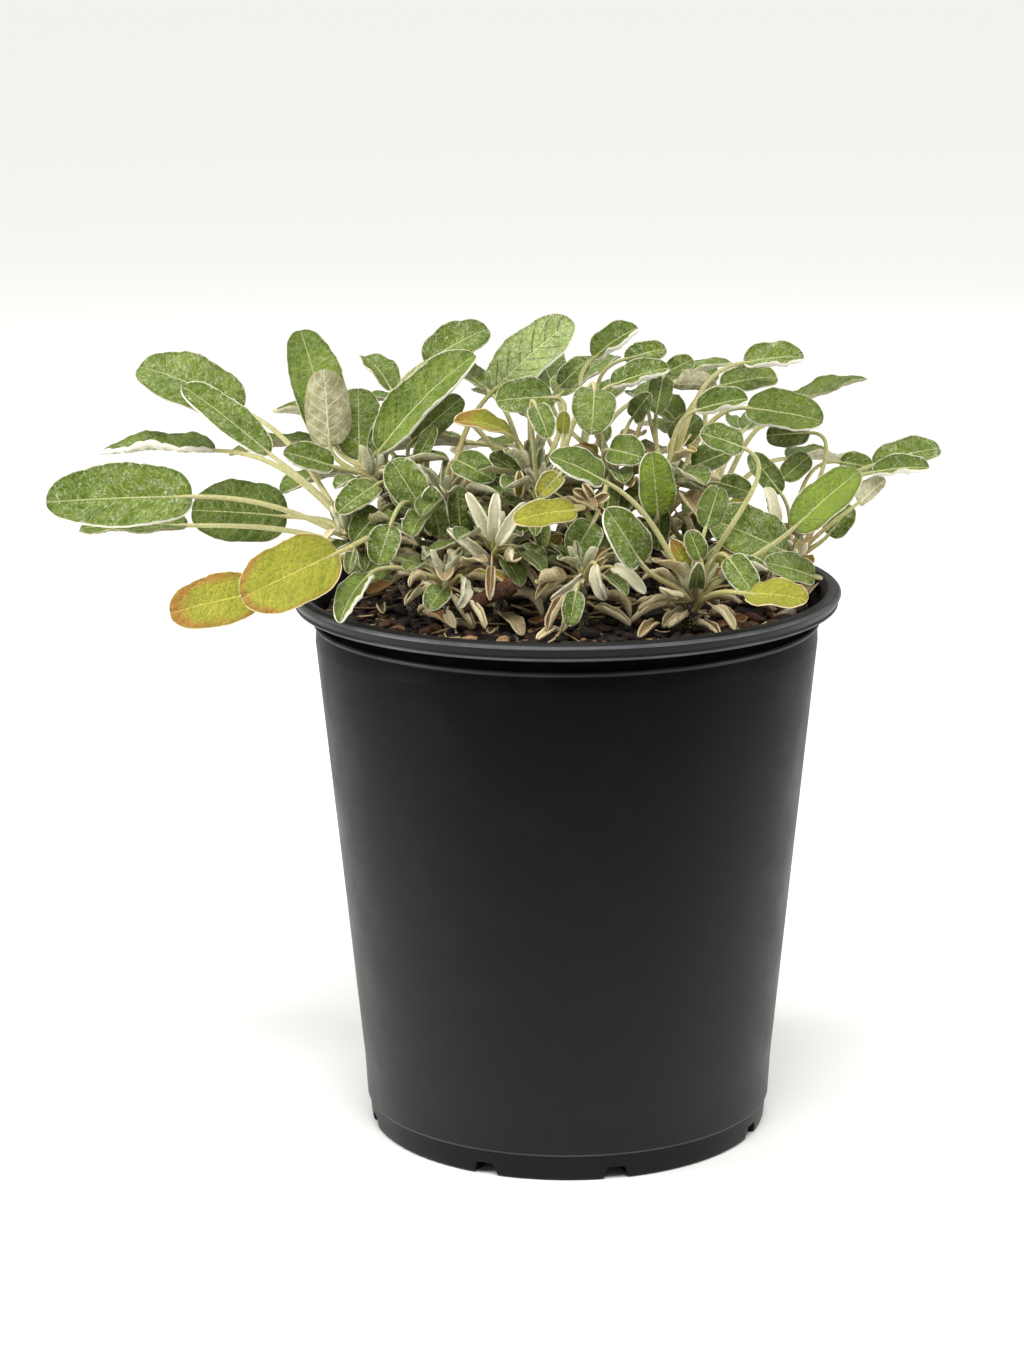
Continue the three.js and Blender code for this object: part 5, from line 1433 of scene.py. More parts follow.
def blade_shape(leaf, number, settings, coarse=1.0):
    """A blade as a closed skin: for each row the upper face from edge to edge, then the under face back.

    Both faces stand off the middle surface along its true normal. The upper one has a groove along the midrib
    and the under one a rib and raised side veins, and the blade swells between its veins. Its edge is crisped
    by short waves. Its lower side rolls up: beyond a line W from the edge the blade follows an arc of radius
    W / lip turn, so that the felt of the under face shows along it.
    """
    _, up, across, length = leaf_frame(leaf)
    draws = draws_from(1000 + 37 * number)
    a, b, c, d, luck = (next(draws) for _ in range(5))
    rows = int(np.clip(length / (GRID_STEP * coarse), *ROWS))
    columns = int(np.clip(leaf.width / (GRID_STEP * coarse), *COLUMNS)) | 1
    even = np.linspace(0, 1, rows)
    t = BLADE_END + (1 - 2 * BLADE_END) * (0.5 * even + 0.25 * (1 - np.cos(math.pi * even)))
    t, v = np.meshgrid(t, np.sin(math.pi / 2 * np.linspace(-1, 1, columns)), indexing="ij")
    side = np.abs(v)
    turn = 2 * math.pi
    beat = np.where(v > 0, 0.37, 0.0)
    crisp = np.sin(turn * (length / CRISP[0] * t + a + beat))
    crisp = crisp + 0.6 * np.sin(turn * (length / CRISP[1] * t + b + 2 * beat))
    oval = np.maximum(0, 1 - np.abs(2 * t**0.88 - 1) ** 2.5) ** 0.46
    slow = np.sin(turn * WAVES * t + leaf.phase + np.where(v > 0, 1.9, 0))
    lean = 1 + 0.06 * (c - 0.5) * np.sign(v) * np.sin(math.pi * t)
    half = leaf.width / 2 * oval * lean * (1 + side * (0.02 * slow + 0.01 * crisp))

    # The side that hangs lower rolls up beyond its band
    lower = v * (1 if across[2] < 0 else -1) > 0
    broad = LIPS.get(leaf.name, LIP)
    band = np.where(lower, broad, 0.35 * LIP) * leaf.width * oval
    band = band * (0.9 + 0.1 * np.sin(turn * (1.6 * t + d))) * (0.9 + 0.1 * crisp)
    reach = side * half
    past = np.maximum(0, reach - (half - band))
    arc = np.maximum(band, 1e-6) / settings.lip_turn
    rolled = np.where(past > 0, half - band + arc * np.sin(past / arc), reach)
    fine_half = rolled / np.maximum(side, 1e-6) * (1 + 0.5 * band / leaf.width)

    swell = 0.5 - 0.5 * np.cos(turn * vein_phase(t, v))
    inside = smooth_step(0.03, 0.25, side) * (1 - smooth_step(0.7, 0.97, side)) * oval
    rise = (
        settings.swell / MM * swell * inside * min(1.0, leaf.width / 14)
        + 0.06 * side**4 * oval * crisp * min(1.5, leaf.width / 12)
        + arc * (1 - np.cos(past / arc))
    )
    middle = blade_points(leaf, t, v, fine_half, rise, settings.calm)
    quilt = 0.16 * lattice_noise(middle, 4.6, 3)
    quilt = quilt + settings.quilt / MM * np.abs(lattice_noise(middle, 2.3, 5))
    middle = middle + (oval * quilt)[..., None] * up
    normal = unit(np.cross(np.gradient(middle, axis=0), np.gradient(middle, axis=1)))
    ends = np.sqrt(np.maximum(0, 1 - (2 * t - 1) ** 24))
    thick = settings.thickness / MM / 2 * np.sqrt(np.maximum(0, 1 - side**10)) * ends
    groove = 0.26 * np.exp(-((reach / 0.45) ** 2)) * ends
    veins = settings.under_vein / MM * (1 - swell) ** 5 * inside
    rib = (0.6 * (1 - t) * np.exp(-((reach / 0.6) ** 2)) + veins) * ends

    def both(over, below):
        return np.concatenate([over, below[:, -2:0:-1]], axis=1)

    edge = np.minimum((1 - side) * half, np.minimum(t, 1 - t) * length)
    # The third tone is a painted shade: it darkens a leaf that lies in shade, and paints one paler below 0
    yellow, felt, dark, veined = TONES.get(leaf.name, LOOKS[leaf.kind])
    own = 0.0 if leaf.kind == "smooth" else between((0.2, 1.0), luck)
    # The rolled lip, marked on its under face for the painted light on its felt
    lip = smooth_step(0.0, 0.5, past) * (broad > LIP)
    where = both(held(t, t, v / 2 + 0.5, 1, own), held(t, t, v / 2 + 0.5, -lip, own))
    size = held(t, edge, reach, t * length, half)
    tone = held(t, yellow + 0.12 * (a - 0.5), felt, dark + 0.35 * (b - 0.5), veined)
    faces = both(middle + normal * (thick - groove)[..., None], middle - normal * (thick + rib)[..., None])
    return skin(faces, leaf=where, size=both(size, size), tone=both(tone, tone))


def stalk_shape(leaf, number, settings, slim=1.0, sides=10):
    """A stalk from its stem to the blade, and on under the midrib, where it thins out."""
    draws = draws_from(5000 + 53 * number)
    warm, wobble = next(draws), next(draws)
    reach = np.linalg.norm(leaf.start - leaf.base)
    share = np.linspace(0, 1, int(np.clip(reach / 1.6, 8, 34)))
    normal = leaf_frame(leaf)[1]
    t = np.linspace(STALK_JOIN, 0.32, 7)[1:]
    under = blade_points(leaf, t, np.zeros_like(t)) - normal * 0.22
    path = np.concatenate([stalk_points(leaf, share), under])
    path = path + 0.18 * lattice_noise(path, 9.0, 5 + int(9 * wobble))[:, None] * normal
    girth = slim * min(1.0, 0.45 + leaf.width / 22)
    wide = settings.stalk_radius / MM
    bare_radii = girth * (wide - 0.28 * share**2) + 0.55 * slim * np.exp(-share * reach / 3.2)
    under_radii = girth * (wide - 0.28) * (1 - np.linspace(0.15, 0.8, len(t)))
    rings = tube_rings(path, np.concatenate([bare_radii, under_radii]), sides)
    along = np.concatenate([share, np.ones(len(t))])[:, None]
    where = held(rings, along, np.arange(sides) / sides, 0, warm)
    return skin(rings, leaf=where, tone=held(rings, LOOKS[leaf.kind][0], 0, 0, 0))


def stem_shape(shoot, number):
    """A stem from its hole in the soil to the crown, thinning upwards, knobbed where old stalks have dropped.

    Its radius is 1 - 0.3 s of the shoot's, over sin^4 rings 3.1 mm apart, moved by a fine noise."""
    share = np.linspace(0, 1, 42)
    buried = shoot.foot + np.array([0, 0, -1.0]) * np.array([STEM_DEPTH, 8, 4])[:, None]
    path = np.concatenate([buried, bezier(*shoot.handles, share)])
    taper = np.concatenate([np.ones(len(buried)), 1 - 0.3 * share])
    scars = 1 + 0.08 * np.sin(2 * math.pi * path[:, 2] / 3.1) ** 4
    rings = tube_rings(path, shoot.radius * taper * scars, 16)
    rings = rings + 0.22 * lattice_noise(rings, 1.9, 11 + number)[..., None] * unit(rings - path[:, None])
    return skin(rings, leaf=held(rings, 0, 0, 0, 0), tone=held(rings, 0, 0, 0, 1))


def leaves_of(shoot, coloured=False):
    """A shoot's leaves and their numbers: those in its own node, or the coloured ones with their own."""
    own = [(number, leaf) for number, leaf in enumerate(layout()[1]) if leaf.shoot == shoot.name]
    return [(number, leaf) for number, leaf in own if (leaf.kind in OWN_NODE) == coloured]


def build_leaves(settings):
    """The green and withered blades of each shoot, one piece a shoot."""
    material = leaf_material("Felted leaf blade", settings)
    for shoot in layout()[0]:
        own = leaves_of(shoot)
        slot = "withered_leaf" if all(leaf.kind == "pale" for _, leaf in own) else "foliage"
        form = joined([blade_shape(leaf, number, settings) for number, leaf in own])
        add_piece("blades_" + shoot.name, form, material, slot, "shoot_" + shoot.name)


def build_stems(settings):
    """The stem and stalks of each shoot, one piece a shoot."""
    material = stalk_material("Felted stalk and woody stem")
    for order, shoot in enumerate(layout()[0]):
        stalks = [stalk_shape(leaf, number, settings) for number, leaf in leaves_of(shoot) if leaf.stalked]
        form = joined([stem_shape(shoot, order)] + stalks)
        add_piece("stalks_" + shoot.name, form, material, "foliage", "shoot_" + shoot.name)


def build_coloured_leaves(settings):
    """The yellow and orange leaves, each with its stalk, in two pieces for its one node."""
    blade, stalk = leaf_material("Autumn leaf blade", settings), stalk_material("Autumn leaf stalk")
    for shoot in layout()[0]:
        for order, (number, leaf) in enumerate(leaves_of(shoot, coloured=True)):
            node = f"{leaf.kind}_leaf_{shoot.name}{order + 1}"
            add_piece("blade_" + node, blade_shape(leaf, number, settings), blade, "autumn_leaf", node)
            add_piece("stalk_" + node, stalk_shape(leaf, number, settings), stalk, "autumn_leaf", node)


def small_leaf(shoot, kind, base, tip, width, facing, start, draws, curl, bow=0.08):
    """A small leaf of a shoot, or of none where it lies loose, with its own crisping."""
    own = {"phase": 6 * next(draws), "wave": 0.3 + 0.5 * next(draws)}
    place = {"shoot": shoot.name if shoot else "", "start": start, "stalked": shoot is not None}
    return new_leaf(kind, base, tip, width, facing, bow=bow, curl=curl, **own, **place)


def kept_inward(shoot, heading):
    """A heading, drawn in to INWARD_SPREAD round the way to the axis where the crown stands near the rim."""
    x, y, _ = shoot.crown
    if math.hypot(x, y) < NEAR_RIM:
        return heading
    inward = math.degrees(math.atan2(-y, -x))
    return inward + ((heading - inward + 180) % 360 - 180) * INWARD_SPREAD / 180


def picked(kinds, draw):
    """One of the kinds, by a draw."""
    return kinds[int(len(kinds) * draw)]


def remains_tries(shoot, heading, draws):
    """A withered leaf that still hangs on a stem, twisted, its tip down, at each turn round it."""
    seat = bezier(*shoot.handles, np.array([0.3 + 0.62 * next(draws)]))[0]
    heading = kept_inward(shoot, heading)
    climb = 20 - 80 * next(draws)
    length = between(REMAINS_LENGTH, next(draws) ** 1.4)
    kind = picked(REMAINS_KINDS, next(draws))
    off, twist, lean = shoot.radius + 2 + 4 * next(draws), 50 * (next(draws) - 0.5), 0.9 * next(draws)
    width = length * (0.3 + 0.22 * next(draws))
    curl, bow = 0.7 + 0.9 * next(draws), 0.3 * next(draws) ** 2
    floor = RIM_TOP - SOIL_DROP + 3
    for turn in REMAINS_TURNS:
        base = carry(seat, off, heading + turn, climb + 25)
        tip = carry(base, length, heading + turn + twist, climb)
        tip[2], base[2] = max(tip[2], floor), max(base[2], floor + 1)
        facing = toward(heading + turn, lean)
        yield small_leaf(shoot, kind, base, tip, width, facing, seat, draws, curl, bow)


def inner_tries(shoot, heading, climb, draws):
    """A small leaf under the canopy at each turn and climb round the top of its stem."""
    heading = kept_inward(shoot, heading)
    seat = bezier(*shoot.handles, np.array([0.72 + 0.26 * next(draws)]))[0]
    stalk, length = between(INNER_STALK, next(draws)), between(INNER_LENGTH, next(draws))
    kind = picked(INNER_KINDS, next(draws))
    width = length * (0.5 + 0.2 * next(draws))
    lean, curl = 0.4 + 1.1 * next(draws), 0.25 + 0.5 * next(draws)
    for turn, lift in INNER_TURNS:
        base = carry(seat, stalk, heading + turn, climb + lift)
        tip = carry(base, length, heading + turn, climb + lift - 30)
        facing = toward(heading + turn, lean)
        yield small_leaf(shoot, kind, base, tip, width, facing, seat, draws, curl)


def new_leaves_of(shoot, count, draws):
    """Young leaves round the crown, still half folded, silvery all over."""
    for i in range(count):
        heading = 360 / count * i + 40 * next(draws)
        length = between(NEW_LENGTH, next(draws))
        base = carry(shoot.crown, 1.5 + 2 * next(draws), heading, 50)
        tip = carry(base, length, heading, 40 + 40 * next(draws))
        facing = -toward(heading, -0.5)
        yield small_leaf(shoot, "new", base, tip, 0.42 * length, facing, shoot.crown, draws, 0.9, -0.05)


def over_soil(u, w, up):
    """The place on a reading's line of sight that is so far over the soil."""
    height = up - SOIL_DROP - EYE_OVER_RIM
    return place_of((u, w, EYE_DISTANCE * (height / (w - EYE_OVER_RIM) - 1)))


def odd_leaves(draws):
    """The small leaves at places of their own."""
    for kind, base, tip, depth, width, curl in ODD_LEAVES:
        ends = [over_soil(*end, 2.0) if depth is None else place_of((*end, depth)) for end in (base, tip)]
        facing = (0.2, -0.3, 1.0) if depth is None else (0.1, -1.0, 0.45)
        yield small_leaf(None, kind, *ends, width, facing, ends[0], draws, curl)


def build_small_leaves(settings):
    """Withered leaves, small leaves under the canopy and new ones: pieces of blades and of stalks."""
    shoots, _, placed = layout()
    draws = draws_from(SMALL_SEED)
    kept = list(odd_leaves(draws))
    placed = list(placed)

    def settled(tries):
        placed.append(settle(tries, placed))
        return placed[-1].leaf

    for shoot in shoots:
        for i in range(settings.remains):
            kept.append(settled(remains_tries(shoot, GOLDEN_TURN * i + 40 * next(draws), draws)))
        kept += new_leaves_of(shoot, settings.fresh_leaves, draws)
        for i in range(settings.inner):
            climb = 45 - 65 * next(draws)
            leaf = settled(inner_tries(shoot, GOLDEN_TURN * i + 30 * next(draws), climb, draws))
            # Close to the soil half of them are left out, and the others are withered
            low = leaf.tip[2] < RIM_TOP + WITHERED_UNDER
            if low:
                leaf.kind = LOW_KINDS[i % len(LOW_KINDS)]
                leaf.width *= 0.62
                leaf.curl += 0.6
            if np.hypot(*leaf.tip[:2]) < MOUTH_RADIUS and not (low and i % 2):
                kept.append(leaf)
    for name, blade, stalk, slot, kinds in SMALL_PIECES:
        own = [(SMALL_FIRST + n, leaf) for n, leaf in enumerate(kept) if leaf.kind in kinds]
        blades = joined([blade_shape(leaf, n, settings, SMALL_COARSE) for n, leaf in own])
        add_piece(name + "_blades", blades, leaf_material(blade, settings), slot)
        stalks = [stalk_shape(leaf, n, settings, 0.6, 6) for n, leaf in own if leaf.stalked]
        if stalks:
            add_piece(name + "_stalks", joined(stalks), stalk_material(stalk), slot)


def rounded(corners, steps):
    """A profile whose corners, given as (radius, height, rounding, ...), are turned in quadratic arcs, and
    what else each corner holds, repeated for its arc's points."""
    points = np.array([corner[:2] for corner in corners], float)
    counts = [1] + [steps] * (len(corners) - 2) + [1]
    rest = np.repeat(np.array([corner[3:] for corner in corners], float), counts, axis=0)
    profile = [points[:1]]
    s = np.linspace(0, 1, steps)[:, None]
    for i in range(1, len(corners) - 1):
        corner, ease = points[i], corners[i][2]
        before, after = points[i - 1] - corner, points[i + 1] - corner
        start = corner + unit(before) * min(ease, 0.45 * np.linalg.norm(before))
        end = corner + unit(after) * min(ease, 0.45 * np.linalg.norm(after))
        profile.append((1 - s) ** 2 * start + 2 * s * (1 - s) * corner + s**2 * end)
    profile.append(points[-1:])
    return np.concatenate(profile), rest


def notch_rise(degrees):
    """How high a drain notch reaches at an angle on the foot: a trapezoid, NOTCH_BOTTOM wide below and
    NOTCH_TOP above, on each of eight places."""
    apart = np.abs((degrees[:, None] - NOTCH_PLACES + 180) % 360 - 180).min(axis=1)
    off = np.radians(apart) * FOOT_RADIUS
    return NOTCH_HEIGHT * np.clip((NOTCH_BOTTOM / 2 - off) / ((NOTCH_BOTTOM - NOTCH_TOP) / 2), 0, 1)


def pot_angles():
    """Angles round the pot in degrees, closer together at each notch."""
    close = [place + np.linspace(-5.5, 5.5, 35) for place in NOTCH_PLACES]
    angles = np.sort(np.concatenate([np.linspace(0, 360, 240, endpoint=False), *close]) % 360)
    gaps = np.diff(np.concatenate([angles, [angles[0] + 360]]))
    return angles[gaps > 0.12]


def pot_corners(wall_out, crest_drop):
    """The pot's profile from the middle of its underside up to the crest and down inside to its floor.

    Each group of corners stands at a radius and height. A corner is how far out and up it is from there, its
    rounding, its glossiness, which falls up the wall and is nil on the skirt under the rim as a painted
    shade, and how much painted highlight its edge gets.
    """
    under_rim, ridge, crest = RIM_TOP - RIM_HEIGHT, RIM_TOP - RIDGE_DROP, RIM_TOP - crest_drop
    wall, floor = RIDGE_RADIUS + wall_out, FLOOR + 3.2
    slope = (wall - FOOT_RADIUS) / (ridge - FOOT_HEIGHT)
    inner_slope = (RIDGE_RADIUS - FOOT_RADIUS) / (ridge - FOOT_HEIGHT)
    lifts = np.linspace(12, ridge - FOOT_HEIGHT - 5, 9)
    # Glossiness falling up the wall: a painted shade, the wall reflecting less the higher it stands
    glosses_and_shade = np.linspace(GLOSS_LIT_FOOT, GLOSS_SHADED_TOP, 9)
    walls = [(slope * lift, lift, 0.1, gloss_and_shade, 0) for lift, gloss_and_shade in zip(lifts, glosses_and_shade)]
    groups = (
        (0, 0, [(0.5, 0.9, 0, 0.1, 0), (44.0, 0.9, 1.0, 0.1, 0), (46.0, 0.0, 1.0, 0.1, 0)]),
        (NOTCH_INNER_RADIUS, 0, [(-0.5, 0.0, 0.1, 0.1, 0), (0.2, 0.0, 0.1, 0.1, 0)]),
        (FOOT_RADIUS, 0, [(-0.6, 0.0, 1.1, 0.18, 0), (-0.1, 4.0, 0.3, 0.18, 0)]),
        (FOOT_RADIUS, FOOT_HEIGHT, [(0.2, -0.7, 0.25, 0.18, 0), (0.9, -0.2, 0.25, 0.24, 0.3)]),
        (FOOT_RADIUS, FOOT_HEIGHT, [(0.9, 0.4, 0.2, GLOSS_LIT_FOOT, 0)]),
        (FOOT_RADIUS + 0.4, FOOT_HEIGHT, walls),
        (wall, ridge, [(-0.3, -0.2, 0.3, 0.03, 0), (0.6, 0.6, 0.3, 0.2, 0.1)]),
        # The ridge's bead, then the skirt under the rim, which has no glossiness: a painted shade
        (wall, ridge, [(0.5, 1.2, 0.25, 0.2, 0.16), (-0.6, 1.8, 0.3, 0, 0)]),
        (wall, under_rim, [(0.4, 0.9, 0.6, 0, 0)]),
        (RIM_RADIUS, under_rim, [(-2.0, 0.6, 0.5, 0, 0), (-1.1, 0.8, 0.25, 0.25, 0.2)]),
        (RIM_RADIUS, under_rim, [(-0.9, 1.3, 0.25, 0.3, 0.4), (-1.4, 1.8, 0.3, 0.25, 0)]),
        (RIM_RADIUS, under_rim, [(-0.7, 2.6, 0.4, 0.22, 0)]),
        (RIM_RADIUS, crest, [(-0.1, -2.0, 0.2, 0.22, 0), (-0.2, -1.5, 0.25, 0.3, 0.45)]),
        (RIM_RADIUS, crest, [(-0.6, -1.0, 0.25, 0.3, 0.35), (-1.1, -0.6, 0.25, 0.22, 0)]),
        (RIM_RADIUS, crest, [(-2.4, 0, 0.7, 0.2, 0)]),
        (MOUTH_RADIUS, crest, [(0.6, -0.4, 0.5, 0.2, 0), (-0.4, -2.0, 0.9, 0.12, 0)]),
        (RIDGE_RADIUS - WALL, ridge, [(0, 0, 1.0, 0.08, 0)]),
        (FOOT_RADIUS - WALL, FOOT_HEIGHT, [(inner_slope * 30, 30, 0.2, 0.05, 0)]),
        (FOOT_RADIUS - WALL, floor, [(0, 0, 0.5, 0.05, 0)]),
        (0.5, floor, [(0, 0, 0, 0.05, 0)]),
    )
    return [(r + out, z + up, *rest) for r, z, corners in groups for out, up, *rest in corners]


def build_pot(settings):
    """The pot, turned from its rounded profile: a rim with a beaded lip over a skirt, a ridge, a tapered wall
    and a foot band. Drain notches lift the base's edge, and the rim is out of round by a hair."""
    profile, finish = rounded(pot_corners(settings.wall_out / MM, settings.crest_drop / MM), 4)
    degrees = pot_angles()
    angles = np.radians(degrees)
    radius = np.broadcast_to(profile[:, 0][:, None], (len(profile), len(angles))).copy()
    height = np.broadcast_to(profile[:, 1][:, None], radius.shape).copy()
    outer = np.arange(len(profile)) < len(profile) // 2
    low = outer & (profile[:, 1] < NOTCH_HEIGHT) & (profile[:, 0] > NOTCH_INNER_RADIUS)
    lifted = np.maximum(height[low], notch_rise(degrees)[None, :])
    on_wall = (profile[low][:, 0] > NOTCH_INNER_RADIUS + 1)[:, None]
    radius[low] += (lifted - height[low]) * 0.12 * on_wall
    height[low] = lifted
    rings = np.stack([radius * np.cos(angles), radius * np.sin(angles), height], axis=-1)
    sway = 0.12 * np.sin(2 * np.arctan2(rings[..., 1], rings[..., 0]) + 0.7)
    sway = sway * smooth_step(60, 170, rings[..., 2])
    rings[..., :2] *= (1 + sway / RIM_RADIUS)[..., None]
    # The finish layer: each corner's glossiness, graded as a painted shade, and its painted edge highlight
    gloss_and_shade, highlit = finish.T[:, :, None]
    pot = skin(rings[::-1], finish=held(rings, gloss_and_shade, highlit, 0, 0)[::-1])
    add_piece("moulded_pot", pot, pot_material("Moulded polypropylene", settings), "pot", "pot")


def soil_height(x, y):
    """The model's soil, two crossed sets of low swells, with lumps of four sizes on it."""
    swell = np.sin(0.21 * x + 0.6) * np.cos(0.17 * y - 0.4) + 0.6 * np.sin(0.33 * y + 0.12 * x)
    flat = np.stack([x, y, np.zeros_like(x)], axis=-1)
    lumps = sum(high * lattice_noise(flat, size, seed) for high, size, seed in SOIL_LUMPS)
    return RIM_TOP - SOIL_DROP + SOIL_RELIEF * swell / 1.6 + 0.8 * lumps


def soil_edge():
    """The radius at which the soil meets the pot's wall."""
    ridge = RIM_TOP - RIDGE_DROP
    share = (RIM_TOP - SOIL_DROP - FOOT_HEIGHT) / (ridge - FOOT_HEIGHT)
    return FOOT_RADIUS + (RIDGE_RADIUS - FOOT_RADIUS) * share - WALL - 0.6


def build_soil(settings):
    """The soil: rings on its lumpy top from the middle to the wall, then its side down to the floor."""
    turn = circle(330)
    top = np.linspace(0.4, 1, 92) ** 0.9 * soil_edge()
    top = np.concatenate([np.linspace(0.5, top[0], 14)[:-1], top])
    x, y = top[:, None] * np.cos(turn), top[:, None] * np.sin(turn)
    side = [
        np.stack([r * np.cos(turn), r * np.sin(turn), np.full(len(turn), z)], axis=-1)
        for r, z in ((soil_edge() - 0.4, 150.0), (FOOT_RADIUS - WALL - 0.8, 14.0), (2.0, 14.0))
    ]
    rings = np.concatenate([np.stack([x, y, soil_height(x, y)], axis=-1), np.stack(side)])
    material = soil_material("Composted bark and peat", settings)
    add_piece("bark_compost", skin(rings[::-1]), material, "soil", "soil")


def lump_shape(centre, size, heading, tilt, rough, seed, rings, sides):
    """A lump: an ellipsoid of the given length, width and height, roughened by noise, turned and tilted."""
    along = math.pi * np.linspace(0.06, 0.94, rings)[:, None]
    turn = circle(sides)
    ends = np.broadcast_to(-np.cos(along), (rings, sides))
    ball = np.stack([ends, np.sin(along) * np.cos(turn), np.sin(along) * np.sin(turn)], axis=-1)
    ball = np.sign(ball) * np.abs(ball) ** 0.8
    bumps = 1 + rough * lattice_noise(ball * 1.7 + 13.1 * seed, 1.0, seed)
    form = ball * bumps[..., None] * (np.array(size) / 2)
    c, s = math.cos(math.radians(heading)), math.sin(math.radians(heading))
    ct, st = math.cos(math.radians(tilt)), math.sin(math.radians(tilt))
    lean = np.array([[ct, 0, -st], [0, 1, 0], [st, 0, ct]])
    spin = np.array([[c, -s, 0], [s, c, 0], [0, 0, 1]])
    return form @ (spin @ lean).T + np.asarray(centre)


def lump_skin(rings, own=0.0):
    """A lump's skin with its own draw. Its rings are turned about, so that its faces point outwards."""
    return skin(rings[:, ::-1], tone=held(rings, own, 0, 0, 0))


def on_soil(at, up):
    """A place on the soil, raised."""
    return np.array([*at, soil_height(*at) + up])


def build_litter(soil, leaves):
    """Bark, dead leaves and pebbles that stand for the model's own larger litter."""
    bark, dead = bark_material("Pine bark", soil), leaf_material("Dry dead leaf", leaves)
    stone = stone_material("Weathered perlite and grit", soil)
    for name in ("bark_chip", "bark_sliver"):
        at, size, heading, _ = LITTER[name]
        size = np.array(size) * (1, 1.05, 1.25)
        rings = lump_shape(on_soil(at, 1.2), size, heading, 2, 0.22, len(name), 40, 22)
        rings = rings + 0.25 * lattice_noise(rings, 1.1, 4)[..., None] * np.array([0, 0, 1.0])
        add_piece("rough_" + name, lump_skin(rings, 0.6), bark, "bark", name)
    for name in ("pebble", "pebble_small"):
        at, size, heading, _ = LITTER[name]
        rings = lump_shape(on_soil(at, 1.1), np.array(size) * 1.02, heading, 5, 0.13, len(name), 24, 22)
        add_piece("worn_" + name, lump_skin(rings), stone, "stone", name)
    for order, name in enumerate(("dead_leaf", "dead_leaf_small")):
        at, (length, width, _), heading, lift = LITTER[name]
        middle, way = on_soil(at, 1.0), toward(heading)
        tip = middle + way * length / 2 + np.array([0, 0, lift])
        bent = {"bow": -0.08, "curl": 0.55, "phase": 1.7 * order, "wave": 0.9}
        leaf = new_leaf("dead", middle - way * length / 2, tip, width, (0.1, -0.2, 1), **bent)
        add_piece("curled_" + name, blade_shape(leaf, DEAD_FIRST + order, leaves), dead, "dead_leaf", name)


def scatter(seed, count, inner, outer):
    """Places on a ring of the soil, evenly likely over its area, each with a heading and four more draws."""
    rng = np.random.default_rng(seed)
    radius = np.sqrt(rng.uniform(inner**2, outer**2, count))
    turn = rng.uniform(0, 2 * math.pi, count)
    heading, luck = rng.uniform(0, 360, count), rng.uniform(0, 1, (count, 4))
    return zip(radius * np.cos(turn), radius * np.sin(turn), heading, luck)


def crumb_shapes(count):
    """Crumbs of bark, most of them small: lumps on the soil at every heading and tilt."""
    for x, y, heading, luck in scatter(CRUMB_SEED, count, 0, soil_edge() - 1.5):
        long = 1.2 + 5.2 * luck[0] ** 2.2
        size = (long, long * (0.5 + 0.4 * luck[1]), long * (0.3 + 0.3 * luck[2]))
        at, tilt = on_soil((x, y), 0.15 * long), 30 * (luck[3] - 0.5)
        yield lump_skin(lump_shape(at, size, heading, tilt, 0.3, int(999 * luck[1]), 4, 7), luck[3])


def twig_shape():
    """A broken twig: a tube whose rings swell and shrink about their middles by two noises."""
    start, end = place_of(TWIG[0]), place_of(TWIG[1])
    s = np.linspace(0, 1, 44)[:, None]
    rings = tube_rings(start + (end - start) * s, TWIG[2] / 2 * (0.9 + 0.2 * s[:, 0]), 18, 0.8)
    middle = rings.mean(axis=1, keepdims=True)
    gnarl = 1 + 0.16 * lattice_noise(rings * (0.5, 1, 1), 2.6, 31) + 0.1 * lattice_noise(rings, 1.1, 32)
    rings = middle + (rings - middle) * gnarl[..., None]
    return lump_skin(rings[:, ::-1], 0.9)


def flake_shapes(count, settings):
    """Curled flakes of leaf: small withered blades that lie about on the soil."""
    for order, (x, y, heading, luck) in enumerate(scatter(FLAKE_SEED, count, 0, soil_edge() - 7)):
        middle = on_soil((x, y), 1.0 + 2.6 * luck[3] ** 2)
        length = 5 + 9 * luck[0]
        way = toward(heading, 0.35 * (luck[1] - 0.5))
        kind, width = picked(FLAKE_KINDS, luck[2]), length * (0.35 + 0.3 * luck[1])
        bent = {"bow": 0.25 * (luck[3] - 0.5), "curl": 0.4 + 0.9 * luck[1], "phase": 6 * luck[2], "wave": 0.9}
        ends = middle - way * length / 2, middle + way * length / 2
        leaf = new_leaf(kind, *ends, width, (luck[0] - 0.5, luck[2] - 0.8, 1), **bent)
        yield blade_shape(leaf, FLAKE_FIRST + order, settings, SMALL_COARSE)


def straw_shapes(count):
    """Dry straws: thin tubes along bent lines, each rising off the soil towards one end."""
    for x, y, heading, luck in scatter(STRAW_SEED, count, 5, soil_edge() - 6):
        s = np.linspace(-0.5, 0.5, 12)[:, None]
        way = toward(heading)
        side = np.array([-way[1], way[0], 0])
        path = np.array([x, y, 0]) + way * (7 + 17 * luck[0]) * s + side * (luck[1] - 0.5) * 9 * s**2
        path[:, :2] *= min(1.0, (soil_edge() - 1.5) / np.hypot(path[:, 0], path[:, 1]).max())
        path[:, 2] = soil_height(x, y) + 1.0 + (3.0 * luck[2]) * (s[:, 0] + 0.5) ** 2
        rings = tube_rings(path, (0.28 + 0.3 * luck[3]) * (1.1 - 0.9 * np.abs(s[:, 0])), 6, 0.6)
        yield skin(rings, leaf=held(rings, 0.5, 0.5, 0, luck[1]), tone=held(rings, 1, 0, 0, 0))


